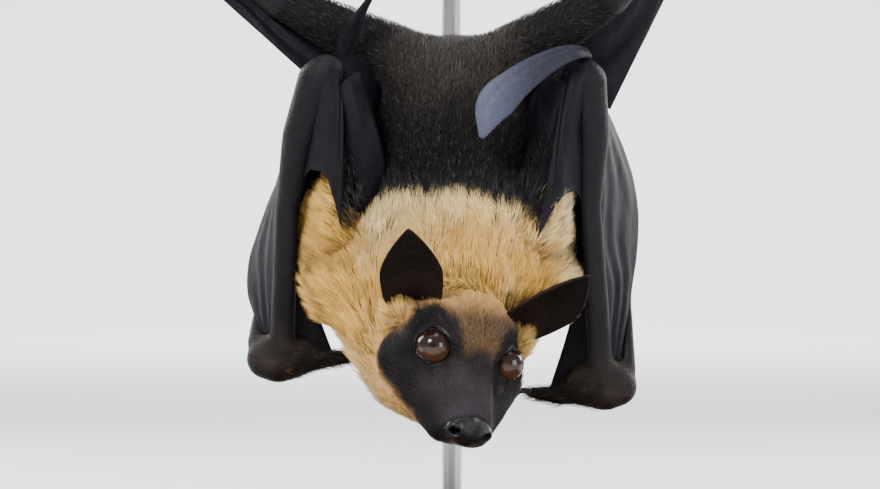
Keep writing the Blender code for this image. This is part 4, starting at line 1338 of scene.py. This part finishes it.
def make_claws(material):
    """Curved claws on the thumbs and on every toe."""
    for side, joints in SIDES.items():
        end, tip = joints["thumb"][-1], joints["claw"]
        start = end + unit(tip - end)
        line = smooth_line([start, (start + tip) / 2 + (0, 0, 3.2), tip], len(THUMB_CLAW))
        item = mesh_object("claw_thumb_" + side, *tube(line, THUMB_CLAW, 14), [material])
        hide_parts("thumb_claw_" + side)
        points, faces = [], []
        for k in range(TOE_COUNT):
            line = toe_line(joints["ankle"][0], k, (20, -48), len(TOE_CLAW))
            line = line + np.linspace((0, 0, 0), (0, 0.8, 0), len(line))
            vertices, polygons = tube(line, TOE_CLAW, 10)
            faces += [f + k * len(vertices) for f in polygons]
            points.append(vertices)
        item = mesh_object("claws_foot_" + side, np.concatenate(points), faces, [material])


# ---------------------------------------------------------------- stand

def make_perch(bark, cut):
    """The branch, with bark knobbed by noise and clean sawn ends."""
    low, high = (np.array(v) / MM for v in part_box("perch_branch"))
    xs = np.linspace(low[0] + 0.4, high[0] - 0.4, 150)
    line = np.stack([xs, PERCH_BEHIND + 1.2 * np.sin(xs / 37),
                     PERCH_HEIGHT + 1.2 * np.cos(xs / 51)], 1)
    sides = 40
    turn = np.linspace(0, 2 * math.pi, sides, endpoint=False)
    where = np.stack([np.repeat(xs, sides) * 0.45, 10 * np.tile(np.cos(turn), len(xs)),
                      10 * np.tile(np.sin(turn), len(xs))], 1)
    rough = 0.45 * noise(where, 2.2, 5) + 0.6 * noise(where, 7, 6)
    knots = 1.2 * np.exp(-((xs[:, None] - np.array((-96, -20, 64))) / 6) ** 2).sum(1)
    radii = (PERCH_RADIUS - 0.9 + 0.8 * np.sin(xs / 23) + 0.5 * knots)[:, None]
    radii = radii + rough.reshape(len(xs), sides)
    radii[[0, -1]] -= 0.5
    vertices, polygons = tube(line, radii, sides)
    slots = np.concatenate([np.full(len(polygons[0]), 0), np.full(2 * sides, 1)])
    item = mesh_object("perch", vertices, polygons, [bark, cut], slots=slots)
    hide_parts("perch_branch")


def lathe(name, centre, axis, profile, material, sides=40):
    """A turned ring or collar from (distance along, radius) pairs."""
    axis = np.asarray(axis, float)
    line = np.asarray(centre, float) + np.outer([p[0] for p in profile], axis)
    vertices, polygons = tube(line, [p[1] for p in profile], sides)
    return mesh_object(name, vertices, polygons, [material])


def make_stand(metal):
    """Collars where the rod enters the base and meets the branch."""
    low, high = (np.array(v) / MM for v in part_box("stand_rod"))
    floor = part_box("stand_base")[1][2] / MM
    foot = (0, high[1] - 5, floor)
    collar = lathe("stand_collar", foot, (0, 0, 1),
                   [(0, 11.5), (0.01, 12), (2.2, 12), (3, 11.2), (3.4, 7.6), (9.4, 7.6), (10, 7)],
                   metal)
    ferrule = lathe("stand_ferrule", (0, low[1] + 9, PERCH_HEIGHT), (0, -1, 0),
                    [(0, 6.4), (0.6, 7), (6, 7), (6.4, 8.6), (9.4, 8.6), (10, 8)], metal)


def dress_frame(frame):
    """Finishes for the CAD nodes that stay: the base and its rod."""
    wood = ramp_material("dark_wood", [(0.25, (0.030, 0.014, 0.007)), (0.75, (0.105, 0.052, 0.024)),
                                       (0.5, (0.060, 0.028, 0.013))],
                         46.0, 0.6, (1.0, 9.0, 9.0), 0.25, 0.25, specular=0.25)
    steel = ramp_material("brushed_steel", [(0.3, (0.36, 0.36, 0.37)), (0.7, (0.55, 0.55, 0.56))],
                          900.0, 0.32, (1.0, 1.0, 0.04), 0.2, 0.03, metallic=1.0)
    for name, material in (("stand_base", wood), ("stand_rod", steel)):
        for slot in frame["nodes"][name].material_slots:
            slot.material = material
    return steel


# ---------------------------------------------------------------- studio

def make_studio():
    """A pale floor that curves up into a backdrop, and its paper."""
    width, near, far, top, bend = 5500.0, -5500.0, 5200.0, 4600.0, 900.0
    turn = np.linspace(0, math.pi / 2, 24)
    profile = ([(near, 0.0)] + [(far + bend * math.sin(a), bend - bend * math.cos(a))
                                for a in turn] + [(far + bend, top)])
    vertices = np.array([(x, y, z - 0.2) for y, z in profile for x in (-width, width)])
    quads = [(k, k + 1, k + 3, k + 2) for k in range(0, len(vertices) - 2, 2)]
    mesh = bpy.data.meshes.new("studio_floor")
    mesh.from_pydata((vertices * MM).tolist(), [], quads)
    mesh.shade_smooth()
    floor = bpy.data.objects.new("studio_floor", mesh)
    bpy.context.collection.objects.link(floor)
    pale, shader = new_material("studio_paper", 0.9, 0.2)
    tree = shader.id_data
    span = node(tree, "ShaderNodeMapRange", To_Min=0.84, To_Max=0.87)
    join(object_noise(tree, 6.0, 2.0), "Fac", span, "Value")
    colour = node(tree, "ShaderNodeCombineColor")
    for channel in ("Red", "Green", "Blue"):
        join(span, "Result", colour, channel)
    join(colour, "Color", shader, "Base Color")
    mesh.materials.append(pale)


def add_light(name, place, aim, size, power, colour=(1, 1, 1)):
    """A square soft light, in metres, turned toward its aim."""
    lamp = bpy.data.lights.new(name, "AREA")
    lamp.shape, lamp.size, lamp.energy, lamp.color = "SQUARE", size, power, colour
    item = bpy.data.objects.new(name, lamp)
    item.location = place
    away = np.array(place, float) - np.array(aim, float)
    item.rotation_euler = (math.atan2(math.hypot(away[0], away[1]), away[2]), 0,
                           math.atan2(away[1], away[0]) + math.pi / 2)
    bpy.context.collection.objects.link(item)


def light_and_camera():
    """Soft lights round the bat, pale air, and the camera level with its shoulders."""
    aim = (0, 0, 0.17)
    add_light("key", (-0.7, -1.3, 1.2), aim, 0.5, 42, (1.0, 0.985, 0.96))
    add_light("fill", (1.3, -1.0, 0.35), aim, 0.8, 17, (0.94, 0.97, 1.0))
    add_light("rim_left", (-0.9, 0.75, 0.7), aim, 0.6, 16)
    add_light("rim_right", (0.9, 0.75, 0.6), aim, 0.6, 14)
    add_light("overhead", (0, 0.1, 1.6), aim, 1.2, 16)
    add_light("backdrop", (0, 3.6, 3.2), (0, 6.0, 0.3), 2.5, 330)
    world = bpy.data.worlds.new("studio_air")
    world.use_nodes = True
    air = world.node_tree.nodes["Background"]
    air.inputs["Color"].default_value = (0.95, 0.97, 1.0, 1)
    air.inputs["Strength"].default_value = 0.6
    bpy.context.scene.world = world
    lens = bpy.data.cameras.new("camera")
    lens.lens, lens.sensor_width = 153.0, 36.0
    camera = bpy.data.objects.new("camera", lens)
    camera.location = (-0.006, -1.8, 0.153)
    camera.rotation_euler = (math.radians(90), 0, 0)
    bpy.context.collection.objects.link(camera)
    bpy.context.scene.camera = camera


def main():
    """Dress the frame in the bat's looks, and light it."""
    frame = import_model()
    make_coat(*make_skin(skin_materials()), coat_material())
    make_eyes(eye_material())
    make_claws(ramp_material("horn", [(0.3, (0.012, 0.009, 0.008)), (0.7, (0.05, 0.038, 0.03))],
                             700.0, 0.28, (1, 1, 1), 0.3, 0.05))
    bark = ramp_material("bark", [(0.25, (0.055, 0.034, 0.020)), (0.8, (0.26, 0.19, 0.13)),
                                  (0.5, (0.13, 0.085, 0.05))],
                         130.0, 0.85, (0.35, 1, 1), 0.8, 0.8)
    cut = ramp_material("cut_wood", [(0.3, (0.42, 0.28, 0.15)), (0.7, (0.62, 0.46, 0.28))],
                        400.0, 0.7, (1, 1, 1), 0.3, 0.2)
    make_perch(bark, cut)
    make_stand(dress_frame(frame))
    make_studio()
    light_and_camera()


main()
